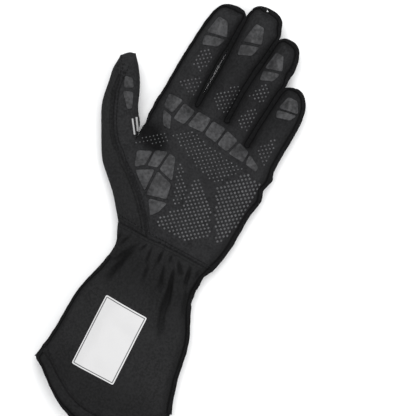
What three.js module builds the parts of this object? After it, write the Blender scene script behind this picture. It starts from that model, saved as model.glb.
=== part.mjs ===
// Long-cuff karting glove for the left hand, lying on its back with the palm up.
// +Y runs to the fingertips, the thumb is at -X and +Z is up. Lengths are millimetres.
import * as THREE from 'three';

// Hand
const PALM_LENGTH = 100;
const INDEX_WIDTH = 26.5;
const MIDDLE_WIDTH = 24;
const RING_WIDTH = 21.3;
const LITTLE_WIDTH = 25.7;
const INDEX_LENGTH = 76;
const MIDDLE_LENGTH = 84.5;
const RING_LENGTH = 76;
const LITTLE_LENGTH = 56;
const THUMB_LENGTH = 57;
const THUMB_WIDTH = 27.5;
const THUMB_ANGLE = 32;

// Wrist and cuff
const WRIST_WIDTH = 77.5;
const NECK_WIDTH = 66.5;
const MOUTH_WIDTH = 107.5;
const CUFF_LENGTH = 141;
const HEM_BOW = 29;
const HEM_WIDTH = 8;

// Heights above and below the side seam
const SEAM_HEIGHT = 10;
const FINGER_RISE = 9;
const PALM_BULGE = 7.5;
const EDGE_ROUND = 11.5;
const BULGE_RUN = 26;
const FINGERTIP_LIFT = 6;
const THUMB_LIFT = 7;

// Cloth and seams
const WALL = 1.4;
const HEM_WALL = 2.2;
const LIP_WIDTH = 2.8;
const CUFF_LIP = 2.4;
const SEAM_GAP = 0.3;

// Pieces sewn or printed on top
const OVERLAY_GAP = 0.42;
const GRIP_THICKNESS = 0.7;
const LABEL_WIDTH = 35.5;
const LABEL_HEIGHT = 56.5;
const LABEL_THICKNESS = 0.6;
const STRIPE_WIDTH = 1.7;
const STRIPE_THICKNESS = 0.7;

// Half the width of the dips in the cloth that a printed or sewn piece spans.
const BRIDGE_WIDTH = 2.4;
const RIDGE_SHARE = 0.4;

// Width over the four finger roots, and where they and the wrist lie across.
const KNUCKLE_WIDTH = INDEX_WIDTH + MIDDLE_WIDTH + RING_WIDTH + LITTLE_WIDTH;
const KNUCKLE_LEFT = -0.682 * KNUCKLE_WIDTH;
const WRIST_CENTRE = -0.145 * WRIST_WIDTH;

const mix = (a, b, t) => a + (b - a) * t;
const mixPoint = (p, q, t) => [mix(p[0], q[0], t), mix(p[1], q[1], t)];
const clamp01 = (t) => Math.min(1, Math.max(0, t));
const smooth = (t) => clamp01(t) ** 2 * (3 - 2 * clamp01(t));
const arc = (t) => Math.sqrt(1 - (1 - clamp01(t)) ** 2);
const bell = (distance, radius) => Math.exp(-((distance / radius) ** 2));

// Fingers. Root heights are shares of the palm's length. A row holds a share of the
// finger's length and its two edges as shares of its width, from its left root.
const FINGERS = [
  {
    name: 'index', width: INDEX_WIDTH, length: INDEX_LENGTH, rootLeft: 0.97, rootRight: 0.99,
    square: 2.4, skew: 0.07,
    rows: [
      { along: 0.13, left: 0, right: 0.965 },
      { along: 0.29, left: 0, right: 0.955 },
      { along: 0.46, left: 0.03, right: 0.95 },
      { along: 0.64, left: 0.05, right: 0.965 },
      { along: 0.8, left: 0.105, right: 0.97 },
    ],
  },
  {
    name: 'middle', width: MIDDLE_WIDTH, length: MIDDLE_LENGTH, rootLeft: 0.99, rootRight: 1,
    square: 2.9, skew: 0,
    rows: [
      { along: 0.13, left: 0.02, right: 0.975 },
      { along: 0.3, left: 0.03, right: 0.965 },
      { along: 0.49, left: 0.03, right: 0.98 },
      { along: 0.68, left: 0, right: 1.09 },
      { along: 0.85, left: -0.015, right: 1.1 },
    ],
  },
  {
    name: 'ring', width: RING_WIDTH, length: RING_LENGTH, rootLeft: 1, rootRight: 0.92,
    square: 2.6, skew: -0.03,
    rows: [
      { along: 0.13, left: 0.02, right: 0.98 },
      { along: 0.28, left: 0.01, right: 1 },
      { along: 0.44, left: 0.04, right: 1.03 },
      { along: 0.61, left: 0.12, right: 1.06 },
      { along: 0.79, left: 0.14, right: 1.1 },
    ],
  },
  {
    name: 'little', width: LITTLE_WIDTH, length: LITTLE_LENGTH, rootLeft: 0.92, rootRight: 0.86,
    square: 2.4, skew: -0.03,
    rows: [
      { along: 0.13, left: 0.03, right: 1 },
      { along: 0.28, left: 0.03, right: 1.01 },
      { along: 0.43, left: 0.055, right: 1.02 },
      { along: 0.59, left: 0.09, right: 1.02 },
    ],
  },
];

// Palm edge on the little-finger side: share of the palm's length, and how far the edge
// stands out past the straight line from wrist to finger root, as a share of its width.
const RIGHT_EDGE = [
  { up: 0.09, out: 0.024 }, { up: 0.18, out: 0.034 }, { up: 0.27, out: 0.031 },
  { up: 0.36, out: 0.03 }, { up: 0.44, out: 0.026 }, { up: 0.51, out: 0.03 },
  { up: 0.59, out: 0.043 }, { up: 0.66, out: 0.022 }, { up: 0.72, out: 0.026 },
  { up: 0.77, out: 0.018 }, { up: 0.82, out: 0.01 },
];

// Thumb-side seam of the palm panel up to the thumb, then the foot of the thumb, both
// as shares of the knuckle width across and of the palm's length up.
const THENAR_SEAM = [
  { across: -0.277, up: 0 }, { across: -0.338, up: 0.085 }, { across: -0.42, up: 0.175 },
  { across: -0.507, up: 0.255 }, { across: -0.595, up: 0.32 },
];
const THUMB_FOOT = [
  { across: -0.632, up: 0.395 }, { across: -0.658, up: 0.47 }, { across: -0.675, up: 0.545 },
  { across: -0.687, up: 0.62 },
];
const INDEX_SIDE = [
  { across: -0.688, up: 0.7 }, { across: -0.692, up: 0.79 }, { across: -0.688, up: 0.88 },
];

// Outer edge of the thumb's heel, beside the thenar seam.
const HEEL_EDGE = [
  { across: -0.585, up: 0.08 }, { across: -0.645, up: 0.145 }, { across: -0.708, up: 0.2 },
  { across: -0.765, up: 0.25 },
];

// Thumb sections in its own frame: along is a share of its length from the web, and the
// outer edge, seam and inner edge lie across as shares of its width.
const THUMB_ROWS = [
  { outerAlong: -0.35, outer: -1.018, seamAlong: -0.39, seam: -0.44, innerAlong: 0.056, inner: -0.015 },
  { outerAlong: -0.22, outer: -1.015, seamAlong: -0.265, seam: -0.49, innerAlong: 0.1, inner: -0.022 },
  { outerAlong: -0.07, outer: -0.992, seamAlong: -0.14, seam: -0.6, innerAlong: 0.167, inner: -0.04 },
  { outerAlong: 0.08, outer: -0.967, seamAlong: 0, seam: -0.64, innerAlong: 0.238, inner: -0.02 },
  { outerAlong: 0.23, outer: -0.963, seamAlong: 0.156, seam: -0.64, innerAlong: 0.335, inner: 0.02 },
  { outerAlong: 0.36, outer: -0.95, seamAlong: 0.34, seam: -0.605, innerAlong: 0.447, inner: 0.066 },
  { outerAlong: 0.51, outer: -0.86, seamAlong: 0.51, seam: -0.56, innerAlong: 0.58, inner: 0.088 },
  { outerAlong: 0.69, outer: -0.69, seamAlong: 0.69, seam: -0.4, innerAlong: 0.715, inner: 0.082 },
];

// Cuff widths: share of its side length, and how much of the step from the neck to the
// wrist or to the mouth is there. Shift moves the middle, as a share of the mouth.
const CUFF_ROWS = [
  { down: 0, wrist: 1, mouth: 0, shift: 0 },
  { down: 0.035, wrist: 0.75, mouth: 0, shift: 0.001 },
  { down: 0.075, wrist: 0.42, mouth: 0, shift: 0.006 },
  { down: 0.125, wrist: 0.1, mouth: 0, shift: 0.019 },
  { down: 0.185, wrist: 0, mouth: 0, shift: 0.022 },
  { down: 0.25, wrist: 0, mouth: 0.06, shift: 0.028 },
  { down: 0.32, wrist: 0, mouth: 0.18, shift: 0.038 },
  { down: 0.4, wrist: 0, mouth: 0.37, shift: 0.052 },
  { down: 0.49, wrist: 0, mouth: 0.54, shift: 0.06 },
  { down: 0.6, wrist: 0, mouth: 0.63, shift: 0.067 },
  { down: 0.71, wrist: 0, mouth: 0.69, shift: 0.077 },
  { down: 0.82, wrist: 0, mouth: 0.79, shift: 0.092 },
  { down: 0.93, wrist: 0, mouth: 0.92, shift: 0.11 },
  { down: 1, wrist: 0, mouth: 1, shift: 0.112 },
];

// Swellings and hollows of the palm side: place as shares of the knuckle width and the
// palm's length, radius and height as shares of the palm's bulge.
const PALM_FORMS = [
  { across: -0.5, up: 0.34, radius: 2.7, height: 0.55 },
  { across: 0.15, up: 0.36, radius: 2.9, height: 0.3 },
  { across: -0.14, up: 0.5, radius: 2.1, height: -0.42 },
  { across: -0.52, up: 0.87, radius: 1.4, height: 0.22 },
  { across: -0.28, up: 0.88, radius: 1.3, height: 0.22 },
  { across: -0.05, up: 0.86, radius: 1.3, height: 0.2 },
  { across: 0.18, up: 0.8, radius: 1.4, height: 0.2 },
];

// Folds of the gathered wrist: ends as shares of the neck's width and the cuff's length,
// half-width and depth as shares of the palm's bulge.
const FOLDS = [
  { x0: -0.46, y0: 0.06, x1: -0.56, y1: 0.29, half: 0.48, depth: 0.3 },
  { x0: -0.3, y0: 0.03, x1: -0.4, y1: 0.19, half: 0.4, depth: 0.22 },
  { x0: -0.12, y0: 0.03, x1: -0.16, y1: 0.17, half: 0.38, depth: 0.2 },
  { x0: 0, y0: 0.1, x1: 0.3, y1: 0.34, half: 0.5, depth: 0.36 },
  { x0: 0.16, y0: 0.03, x1: 0.19, y1: 0.25, half: 0.42, depth: 0.32 },
  { x0: 0.3, y0: 0.05, x1: 0.36, y1: 0.3, half: 0.42, depth: 0.26 },
];

// Grip plates of the palm, corners as shares of the knuckle width and palm length.
const PALM_PLATES = [
  { name: 'grip_arc_1', a: [-0.626, 0.96], b: [-0.515, 0.965], c: [-0.535, 0.845], d: [-0.615, 0.86] },
  { name: 'grip_arc_2', a: [-0.606, 0.84], b: [-0.53, 0.825], c: [-0.49, 0.735], d: [-0.554, 0.74] },
  { name: 'grip_arc_3', a: [-0.498, 0.952], b: [-0.396, 0.935], c: [-0.422, 0.812], d: [-0.51, 0.815] },
  { name: 'grip_arc_4', a: [-0.374, 0.948], b: [-0.267, 0.945], c: [-0.272, 0.83], d: [-0.396, 0.82] },
  { name: 'grip_arc_5', a: [-0.251, 0.94], b: [-0.138, 0.935], c: [-0.154, 0.812], d: [-0.256, 0.825] },
  { name: 'grip_arc_6', a: [-0.122, 0.93], b: [-0.02, 0.905], c: [-0.052, 0.795], d: [-0.138, 0.808] },
  { name: 'grip_arc_7', a: [-0.004, 0.9], b: [0.092, 0.87], c: [0.092, 0.785], d: [-0.036, 0.79] },
  { name: 'grip_arc_8', a: [0.108, 0.86], b: [0.205, 0.81], c: [0.205, 0.77], d: [0.108, 0.785] },
  { name: 'grip_thenar_1', a: [-0.626, 0.49], b: [-0.523, 0.54], c: [-0.518, 0.43], d: [-0.58, 0.38] },
  { name: 'grip_thenar_2', a: [-0.508, 0.555], b: [-0.42, 0.59], c: [-0.43, 0.455], d: [-0.502, 0.43] },
  { name: 'grip_thenar_3', a: [-0.405, 0.585], b: [-0.354, 0.58], c: [-0.292, 0.42], d: [-0.415, 0.45] },
  { name: 'grip_thenar_4', a: [-0.564, 0.365], b: [-0.441, 0.435], c: [-0.43, 0.27], d: [-0.492, 0.31] },
  { name: 'grip_thenar_5', a: [-0.42, 0.435], b: [-0.287, 0.4], c: [-0.261, 0.29], d: [-0.41, 0.25] },
  { name: 'grip_thenar_6', a: [-0.38, 0.235], b: [-0.241, 0.27], c: [-0.267, 0.18], d: [-0.308, 0.13] },
];

// Grip plates of every fingertip, corners as shares of the finger's width and length.
const TIP_PLATES = [
  { part: 'top', a: [0.36, 0.85], b: [0.62, 0.85], c: [0.82, 0.7], d: [0.26, 0.64] },
  { part: 'low', a: [0.26, 0.61], b: [0.8, 0.67], c: [0.7, 0.56], d: [0.32, 0.5] },
];

// Grip plates of the thumb, in its own frame as shares of its length and width.
const THUMB_PLATES = [
  { name: 'grip_thumb_top', a: [-0.3, 0.73], b: [-0.1, 0.68], c: [-0.09, 0.55], d: [-0.36, 0.55] },
  { name: 'grip_thumb_low', a: [-0.39, 0.51], b: [-0.11, 0.49], c: [-0.17, 0.26], d: [-0.3, 0.24] },
];

// White stripes along the thumb's inner edge: from and to, in the same shares.
const THUMB_STRIPES = [
  { name: 'thumb_stripe_1', from: [-0.16, 0.2], to: [-0.15, 0.0] },
  { name: 'thumb_stripe_2', from: [-0.07, 0.2], to: [-0.06, 0.02] },
];

// Columns across a finger: lip, three steps up, three steps down, lip.
const DOME_STEPS = 6;
const DIGIT_COLUMNS = DOME_STEPS + 2;
const CAP_STEPS = 6;
const WEB_ROWS = [7, 9];
const WEB_COLUMNS = 7;

const THUMB_TURN = THREE.MathUtils.degToRad(THUMB_ANGLE);
const thumbPoint = (along, across) => [
  web[0] - Math.sin(THUMB_TURN) * along * THUMB_LENGTH + Math.cos(THUMB_TURN) * across * THUMB_WIDTH,
  web[1] + Math.cos(THUMB_TURN) * along * THUMB_LENGTH + Math.sin(THUMB_TURN) * across * THUMB_WIDTH,
];
const palmPoint = (across, up) => [across * KNUCKLE_WIDTH, up * PALM_LENGTH];
const web = palmPoint(THUMB_FOOT[3].across, THUMB_FOOT[3].up);

// Points across a digit from its left to its right edge, closer together near the edges.
function section(left, right) {
  const width = Math.hypot(right[0] - left[0], right[1] - left[1]);
  const lip = LIP_WIDTH / width;
  const points = [left];
  for (let step = 0; step <= DOME_STEPS; step += 1) {
    const turn = (1 - Math.cos((Math.PI * step) / DOME_STEPS)) / 2;
    points.push(mixPoint(left, right, mix(lip, 1 - lip, turn)));
  }
  points.push(right);
  return points;
}

// Outline of a rounded end between two edges, from the left one round to the right one.
function roundEnd(left, right, height, square, skew) {
  const centre = mixPoint(left, right, 0.5);
  const half = [(right[0] - left[0]) / 2, (right[1] - left[1]) / 2];
  const length = Math.hypot(half[0], half[1]);
  const up = [-half[1] / length, half[0] / length];
  const points = [];
  for (let step = 0; step <= CAP_STEPS; step += 1) {
    const angle = Math.PI * (1 - step / CAP_STEPS);
    const side = Math.sign(Math.cos(angle)) * Math.abs(Math.cos(angle)) ** (2 / square);
    const rise = Math.abs(Math.sin(angle)) ** (2 / square);
    const across = side + (skew * rise ** 2);
    points.push([
      centre[0] + half[0] * across + up[0] * rise * height,
      centre[1] + half[1] * across + up[1] * rise * height,
    ]);
  }
  return points;
}

// Spokes that close a rounded end: each runs from the outline to the middle point.
function spokes(outline, middle, lip) {
  return outline.map((point) => {
    const length = Math.hypot(point[0] - middle[0], point[1] - middle[1]);
    const points = [point];
    for (let step = 0; step <= DOME_STEPS / 2; step += 1) {
      const turn = 1 - Math.cos((Math.PI * step) / DOME_STEPS);
      points.push(mixPoint(point, middle, mix(lip / length, 1, turn)));
    }
    points[points.length - 1] = middle;
    return points;
  });
}

// Flat plan of the glove: grids of points, each cell with the pieces it belongs to.
const cells = [];
const edges = [];

function addCell(corners, front, back, zone) {
  cells.push({ corners, front, back, zone });
}

function addGrid(rows, front, back, zone) {
  for (let i = 0; i + 1 < rows.length; i += 1) {
    for (let j = 0; j + 1 < rows[i].length; j += 1) {
      const corners = [rows[i][j], rows[i][j + 1], rows[i + 1][j + 1], rows[i + 1][j]];
      addCell(corners, pick(front, i, j), pick(back, i, j), zone);
    }
  }
}

function pick(choice, i, j) {
  return typeof choice === 'function' ? choice(i, j) : choice;
}

// Adds one side of the outline, with the width of its seam lip at both ends.
function addEdge(points, lipStart, lipEnd) {
  for (let k = 0; k + 1 < points.length; k += 1) {
    const share = (at) => mix(lipStart, lipEnd, at / (points.length - 1));
    edges.push({ from: points[k], to: points[k + 1], lips: [share(k), share(k + 1)] });
  }
}

// Fingers
const rootRow = [];
let rootX = KNUCKLE_LEFT;
for (const finger of FINGERS) {
  const { width, length } = finger;
  const left = [rootX, finger.rootLeft * PALM_LENGTH];
  const right = [rootX + width, finger.rootRight * PALM_LENGTH];
  const foot = (finger.rootLeft + finger.rootRight) / 2 * PALM_LENGTH;
  const sides = [[left, right]];
  for (const row of finger.rows) {
    const y = foot + row.along * length;
    sides.push([[rootX + row.left * width, y], [rootX + row.right * width, y]]);
  }
  const rows = sides.map(([from, to]) => section(from, to));
  if (rootRow.length > 0) {
    rootRow.pop();
  }
  rootRow.push(...rows[0]);
  addGrid(rows, 'palm_panel', 'back_panel', 'hand');
  const [capLeft, capRight] = sides[sides.length - 1];
  const capHeight = foot + length - capLeft[1];
  const outline = roundEnd(capLeft, capRight, capHeight, finger.square, finger.skew * 2);
  const middle = rows[rows.length - 1][DIGIT_COLUMNS / 2];
  const fan = spokes(outline, middle, LIP_WIDTH);
  const lastSection = rows[rows.length - 1];
  fan[0] = lastSection.slice(0, DIGIT_COLUMNS / 2 + 1);
  fan[CAP_STEPS] = [...lastSection].reverse().slice(0, DIGIT_COLUMNS / 2 + 1);
  for (let k = 0; k + 1 < fan.length; k += 1) {
    for (let j = 0; j + 2 < fan[k].length; j += 1) {
      const corners = [fan[k][j], fan[k][j + 1], fan[k + 1][j + 1], fan[k + 1][j]];
      addCell(corners.reverse(), 'palm_panel', 'back_panel', 'hand');
    }
    const inner = fan[k].length - 2;
    addCell([middle, fan[k + 1][inner], fan[k][inner]], 'palm_panel', 'back_panel', 'hand');
  }
  addEdge(sides.map(([from]) => from), LIP_WIDTH, LIP_WIDTH);
  addEdge(outline, LIP_WIDTH, LIP_WIDTH);
  addEdge(sides.map(([, to]) => to), LIP_WIDTH, LIP_WIDTH);
  finger.rootX = rootX;
  finger.foot = foot;
  rootX += width;
}

// Palm: a patch between the wrist, the finger roots, the thumb side and the outer edge.
const wristLeft = [WRIST_CENTRE - WRIST_WIDTH / 2, 0];
const wristRight = [WRIST_CENTRE + WRIST_WIDTH / 2, 0];
const littleRoot = rootRow[rootRow.length - 1];
const leftSide = [...THENAR_SEAM, ...THUMB_FOOT, ...INDEX_SIDE].map((p) => palmPoint(p.across, p.up));
leftSide.push(rootRow[0]);
const rightSide = [wristRight];
for (const row of RIGHT_EDGE) {
  const y = row.up * PALM_LENGTH;
  const straight = mix(wristRight[0], littleRoot[0], y / littleRoot[1]);
  rightSide.push([straight + row.out * KNUCKLE_WIDTH, y]);
}
rightSide.push(littleRoot);
const palmRows = leftSide.map((leftPoint, i) => {
  const v = i / (leftSide.length - 1);
  return rootRow.map((rootPoint) => {
    const u = (rootPoint[0] - rootRow[0][0]) / KNUCKLE_WIDTH;
    const low = mixPoint(leftSide[0], wristRight, u);
    const corner = mixPoint(mixPoint(leftSide[0], wristRight, u), mixPoint(rootRow[0], littleRoot, u), v);
    const across = mixPoint(leftPoint, rightSide[i], u);
    const along = mixPoint(low, rootPoint, v);
    return [across[0] + along[0] - corner[0], across[1] + along[1] - corner[1]];
  });
});
const inWeb = (i, j) => i >= WEB_ROWS[0] && i < WEB_ROWS[1] && j < WEB_COLUMNS;
addGrid(palmRows, (i, j) => (inWeb(i, j) ? 'thumb_web' : 'palm_panel'), 'back_panel', 'hand');
addEdge(rightSide, LIP_WIDTH, LIP_WIDTH);
const webRow = THENAR_SEAM.length + THUMB_FOOT.length - 1;
addEdge(leftSide.slice(webRow, webRow + 2), 0, LIP_WIDTH);
addEdge(leftSide.slice(webRow + 1), LIP_WIDTH, LIP_WIDTH);

// Thumb: its heel and outer side are one strip left of the seam, its pad lies right of it.
const STRIP_SHARES = [0, 0.09, 0.27, 0.58, 1];
const PAD_SHARES = [0, 0.36, 0.68, 0.9, 1];
const heelRows = [[wristLeft, leftSide[0]]];
HEEL_EDGE.forEach((point, i) => {
  heelRows.push([palmPoint(point.across, point.up), leftSide[i + 1]]);
});
const thumbRows = THUMB_ROWS.map((row) => ({
  outer: thumbPoint(row.outerAlong, row.outer),
  seam: thumbPoint(row.seamAlong, row.seam),
  inner: thumbPoint(row.innerAlong, row.inner),
}));
const stripSides = [...heelRows, ...thumbRows.map((row) => [row.outer, row.seam])];
const stripRows = stripSides.map(([from, to]) => STRIP_SHARES.map((share) => mixPoint(from, to, share)));
addGrid(stripRows, 'thumb_back', 'thumb_back', 'thumb');
const padRows = [leftSide.slice(THENAR_SEAM.length - 1, webRow + 1)];
thumbRows.forEach((row, i) => {
  const ease = smooth((i + 1) / 4);
  padRows.push(PAD_SHARES.map((share, j) => mixPoint(row.seam, row.inner, mix(j / 4, share, ease))));
});
const underPad = (i, j) => (j >= 2 ? 'thumb_front' : 'thumb_back');
addGrid(padRows, 'thumb_front', underPad, 'thumb');
const lastRow = thumbRows[thumbRows.length - 1];
const thumbReach = (1 - THUMB_ROWS[THUMB_ROWS.length - 1].outerAlong) * THUMB_LENGTH;
const thumbEnd = roundEnd(lastRow.outer, lastRow.inner, thumbReach, 2, 0.3);
const lastStrip = stripRows[stripRows.length - 1];
const lastPad = padRows[padRows.length - 1];
const thumbFan = thumbEnd.map((point, k) => {
  const share = k / CAP_STEPS;
  return STRIP_SHARES.map((_, j) => {
    const fromStrip = STRIP_SHARES[j];
    const fromPad = 1 - PAD_SHARES[4 - j];
    return mixPoint(point, lastRow.seam, mix(fromStrip, fromPad, share));
  });
});
thumbFan[0] = lastStrip;
thumbFan[CAP_STEPS] = [...lastPad].reverse();
const SEAM_SPOKE = 2;
for (let k = 0; k < CAP_STEPS; k += 1) {
  const front = k < SEAM_SPOKE ? 'thumb_back' : 'thumb_front';
  const back = k < SEAM_SPOKE + 2 ? 'thumb_back' : 'thumb_front';
  for (let j = 0; j < 3; j += 1) {
    const corners = [thumbFan[k][j], thumbFan[k][j + 1], thumbFan[k + 1][j + 1], thumbFan[k + 1][j]];
    addCell(corners, front, back, 'thumb');
  }
  addCell([thumbFan[k][3], lastRow.seam, thumbFan[k + 1][3]], front, back, 'thumb');
}
addEdge(stripSides.map(([from]) => from), 0, 0);
addEdge(thumbEnd, 0, 0);
addEdge([web, ...thumbRows.map((row) => row.inner)], 0, 0);

// Cuff: its top row shares the hand's columns, its last row is the bowed hem.
const SIDE_LENGTH = CUFF_LENGTH - HEM_BOW;
const cuffTop = [...stripRows[0].slice(0, -1), ...palmRows[0]];
const cuffShares = cuffTop.map((p) => (p[0] - wristLeft[0]) / WRIST_WIDTH);
const cuffSides = CUFF_ROWS.map((row) => {
  const width = NECK_WIDTH + row.wrist * (WRIST_WIDTH - NECK_WIDTH) + row.mouth * (MOUTH_WIDTH - NECK_WIDTH);
  const middle = WRIST_CENTRE + row.shift * MOUTH_WIDTH;
  return { left: middle - width / 2, right: middle + width / 2, down: row.down };
});
const hemStart = 1 - HEM_WIDTH / SIDE_LENGTH;
cuffSides[cuffSides.length - 2].down = hemStart;
const cuffGrid = cuffSides.map((row) => cuffShares.map((share) => {
  const bow = 1 - (2 * share - 1) ** 2;
  const y = -row.down * SIDE_LENGTH - bow * HEM_BOW * row.down ** 1.6;
  return [mix(row.left, row.right, share), y];
}));
cuffGrid[0] = cuffTop;
const hemRow = cuffGrid.length - 2;
addGrid(
  cuffGrid,
  (i) => (i < hemRow ? 'cuff_front' : 'hem_front'),
  (i) => (i < hemRow ? 'cuff_back' : 'hem_back'),
  'cuff',
);
const cuffLeft = cuffGrid.map((row) => row[0]);
const cuffRight = cuffGrid.map((row) => row[row.length - 1]);
const lipStart = 4;
const lipFull = 8;
addEdge(cuffLeft.slice(0, lipStart + 1), 0, 0);
addEdge(cuffLeft.slice(lipStart, lipFull + 1), 0, CUFF_LIP);
addEdge(cuffLeft.slice(lipFull), CUFF_LIP, CUFF_LIP);
addEdge(cuffRight.slice(0, lipFull + 1), LIP_WIDTH, CUFF_LIP);
addEdge(cuffRight.slice(lipFull), CUFF_LIP, CUFF_LIP);

// Distance from a point to the outline, and the lip's width at the nearest place.
function nearestEdge(x, y) {
  let best = { distance: Infinity, lip: 0 };
  for (const { from, to, lips } of edges) {
    const dx = to[0] - from[0];
    const dy = to[1] - from[1];
    const share = clamp01(((x - from[0]) * dx + (y - from[1]) * dy) / (dx * dx + dy * dy));
    const distance = Math.hypot(x - from[0] - share * dx, y - from[1] - share * dy);
    if (distance < best.distance) {
      best = { distance, lip: mix(lips[0], lips[1], share) };
    }
  }
  return best;
}

function segmentDistance(x, y, from, to) {
  const dx = to[0] - from[0];
  const dy = to[1] - from[1];
  const share = clamp01(((x - from[0]) * dx + (y - from[1]) * dy) / (dx * dx + dy * dy));
  return Math.hypot(x - from[0] - share * dx, y - from[1] - share * dy);
}

// Height of the side seam above the ground: fingertips and thumb tip lift a little.
function seamHeight(x, y, zone) {
  if (zone === 'thumb') {
    const dx = x - web[0];
    const dy = y - web[1];
    const along = (-Math.sin(THUMB_TURN) * dx + Math.cos(THUMB_TURN) * dy) / THUMB_LENGTH;
    return SEAM_HEIGHT + THUMB_LIFT * clamp01(along) ** 1.5;
  }
  return SEAM_HEIGHT + FINGERTIP_LIFT * clamp01((y - PALM_LENGTH) / MIDDLE_LENGTH) ** 2;
}

function lipRise(lip) {
  return (WALL + SEAM_GAP / 2) * clamp01(lip / CUFF_LIP);
}

// Height of the palm side above the side seam.
function frontRise(x, y) {
  const { distance, lip } = nearestEdge(x, y);
  const inside = Math.max(0, distance - lip);
  const body = smooth((inside - EDGE_ROUND / 2) / BULGE_RUN);
  let rise = lipRise(lip) + FINGER_RISE * arc(inside / EDGE_ROUND) + PALM_BULGE * body;
  for (const form of PALM_FORMS) {
    const [formX, formY] = palmPoint(form.across, form.up);
    const away = Math.hypot(x - formX, y - formY);
    rise += form.height * PALM_BULGE * bell(away, form.radius * PALM_BULGE) * arc(inside / EDGE_ROUND);
  }
  for (const fold of FOLDS) {
    const from = [WRIST_CENTRE + fold.x0 * NECK_WIDTH, -fold.y0 * CUFF_LENGTH];
    const to = [WRIST_CENTRE + fold.x1 * NECK_WIDTH, -fold.y1 * CUFF_LENGTH];
    const away = segmentDistance(x, y, from, to);
    rise -= fold.depth * PALM_BULGE * bell(away, fold.half * PALM_BULGE) * arc(inside / EDGE_ROUND);
  }
  return rise;
}

// Depth of the back below the side seam: it lies flat where it meets the ground.
function backDrop(x, y) {
  const { distance, lip } = nearestEdge(x, y);
  const low = lipRise(lip);
  return low + (SEAM_HEIGHT - low) * arc(Math.max(0, distance - lip) / (EDGE_ROUND * 0.82));
}

const onEdge = (x, y) => nearestEdge(x, y).distance < 1e-6;

// Skin: the plan's corners raised to the palm side and lowered to the back.
const skin = { points: [], normals: [], faces: [] };
const pointIndex = new Map();

function skinPoint([x, y], side, wraps, zone) {
  const shared = wraps && onEdge(x, y);
  const key = `${x.toFixed(3)},${y.toFixed(3)},${shared ? 'edge' : side}`;
  if (!pointIndex.has(key)) {
    const seam = seamHeight(x, y, zone);
    let z = seam;
    if (!shared && side === 'front') {
      z = seam + Math.max(SEAM_GAP / 2, frontRise(x, y));
    }
    if (!shared && side === 'back') {
      z = seam - Math.max(SEAM_GAP / 2, backDrop(x, y));
    }
    pointIndex.set(key, skin.points.length);
    skin.points.push({ at: new THREE.Vector3(x, y, z), side: shared ? 'edge' : side, seam });
    skin.normals.push(new THREE.Vector3());
  }
  return pointIndex.get(key);
}

for (const { corners, front, back, zone } of cells) {
  const area = THREE.ShapeUtils.area(corners.map(([x, y]) => new THREE.Vector2(x, y)));
  const loop = area > 0 ? corners : [...corners].reverse();
  const wraps = zone === 'thumb';
  const top = loop.map((corner) => skinPoint(corner, 'front', wraps, zone));
  const under = [...loop].reverse().map((corner) => skinPoint(corner, 'back', wraps, zone));
  skin.faces.push({ loop: top, node: front }, { loop: under, node: back });
}

for (const { loop } of skin.faces) {
  for (let k = 0; k < loop.length; k += 1) {
    const here = skin.points[loop[k]].at;
    const next = skin.points[loop[(k + 1) % loop.length]].at.clone().sub(here);
    const last = skin.points[loop[(k + loop.length - 1) % loop.length]].at.clone().sub(here);
    skin.normals[loop[k]].add(next.cross(last));
  }
}
skin.normals.forEach((normal) => normal.normalize());

// Nodes that each skin point touches, to find the seams between them.
const nodesAt = skin.points.map(() => new Set());
for (const { loop, node } of skin.faces) {
  loop.forEach((index) => nodesAt[index].add(node));
}

// One closed solid from a sheet: outer face, inner face and the walls round its rim.
function solidFromSheet(outer, inner, loops) {
  const positions = [...outer, ...inner].flatMap((p) => [p.x, p.y, p.z]);
  const count = outer.length;
  const triangles = [];
  const rim = new Map();
  for (const loop of loops) {
    for (let k = 1; k + 1 < loop.length; k += 1) {
      triangles.push(loop[0], loop[k], loop[k + 1]);
      triangles.push(loop[0] + count, loop[k + 1] + count, loop[k] + count);
    }
    for (let k = 0; k < loop.length; k += 1) {
      const a = loop[k];
      const b = loop[(k + 1) % loop.length];
      if (!rim.delete(`${b},${a}`)) {
        rim.set(`${a},${b}`, [a, b]);
      }
    }
  }
  for (const [a, b] of rim.values()) {
    triangles.push(a, a + count, b + count, a, b + count, b);
  }
  const geometry = new THREE.BufferGeometry();
  geometry.setAttribute('position', new THREE.Float32BufferAttribute(positions, 3));
  geometry.setIndex(triangles);
  geometry.computeVertexNormals();
  return geometry;
}

const glove = new THREE.Group();

function addMesh(name, geometry, material) {
  const mesh = new THREE.Mesh(geometry, new THREE.MeshStandardMaterial(material));
  mesh.name = name;
  glove.add(mesh);
}

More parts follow.
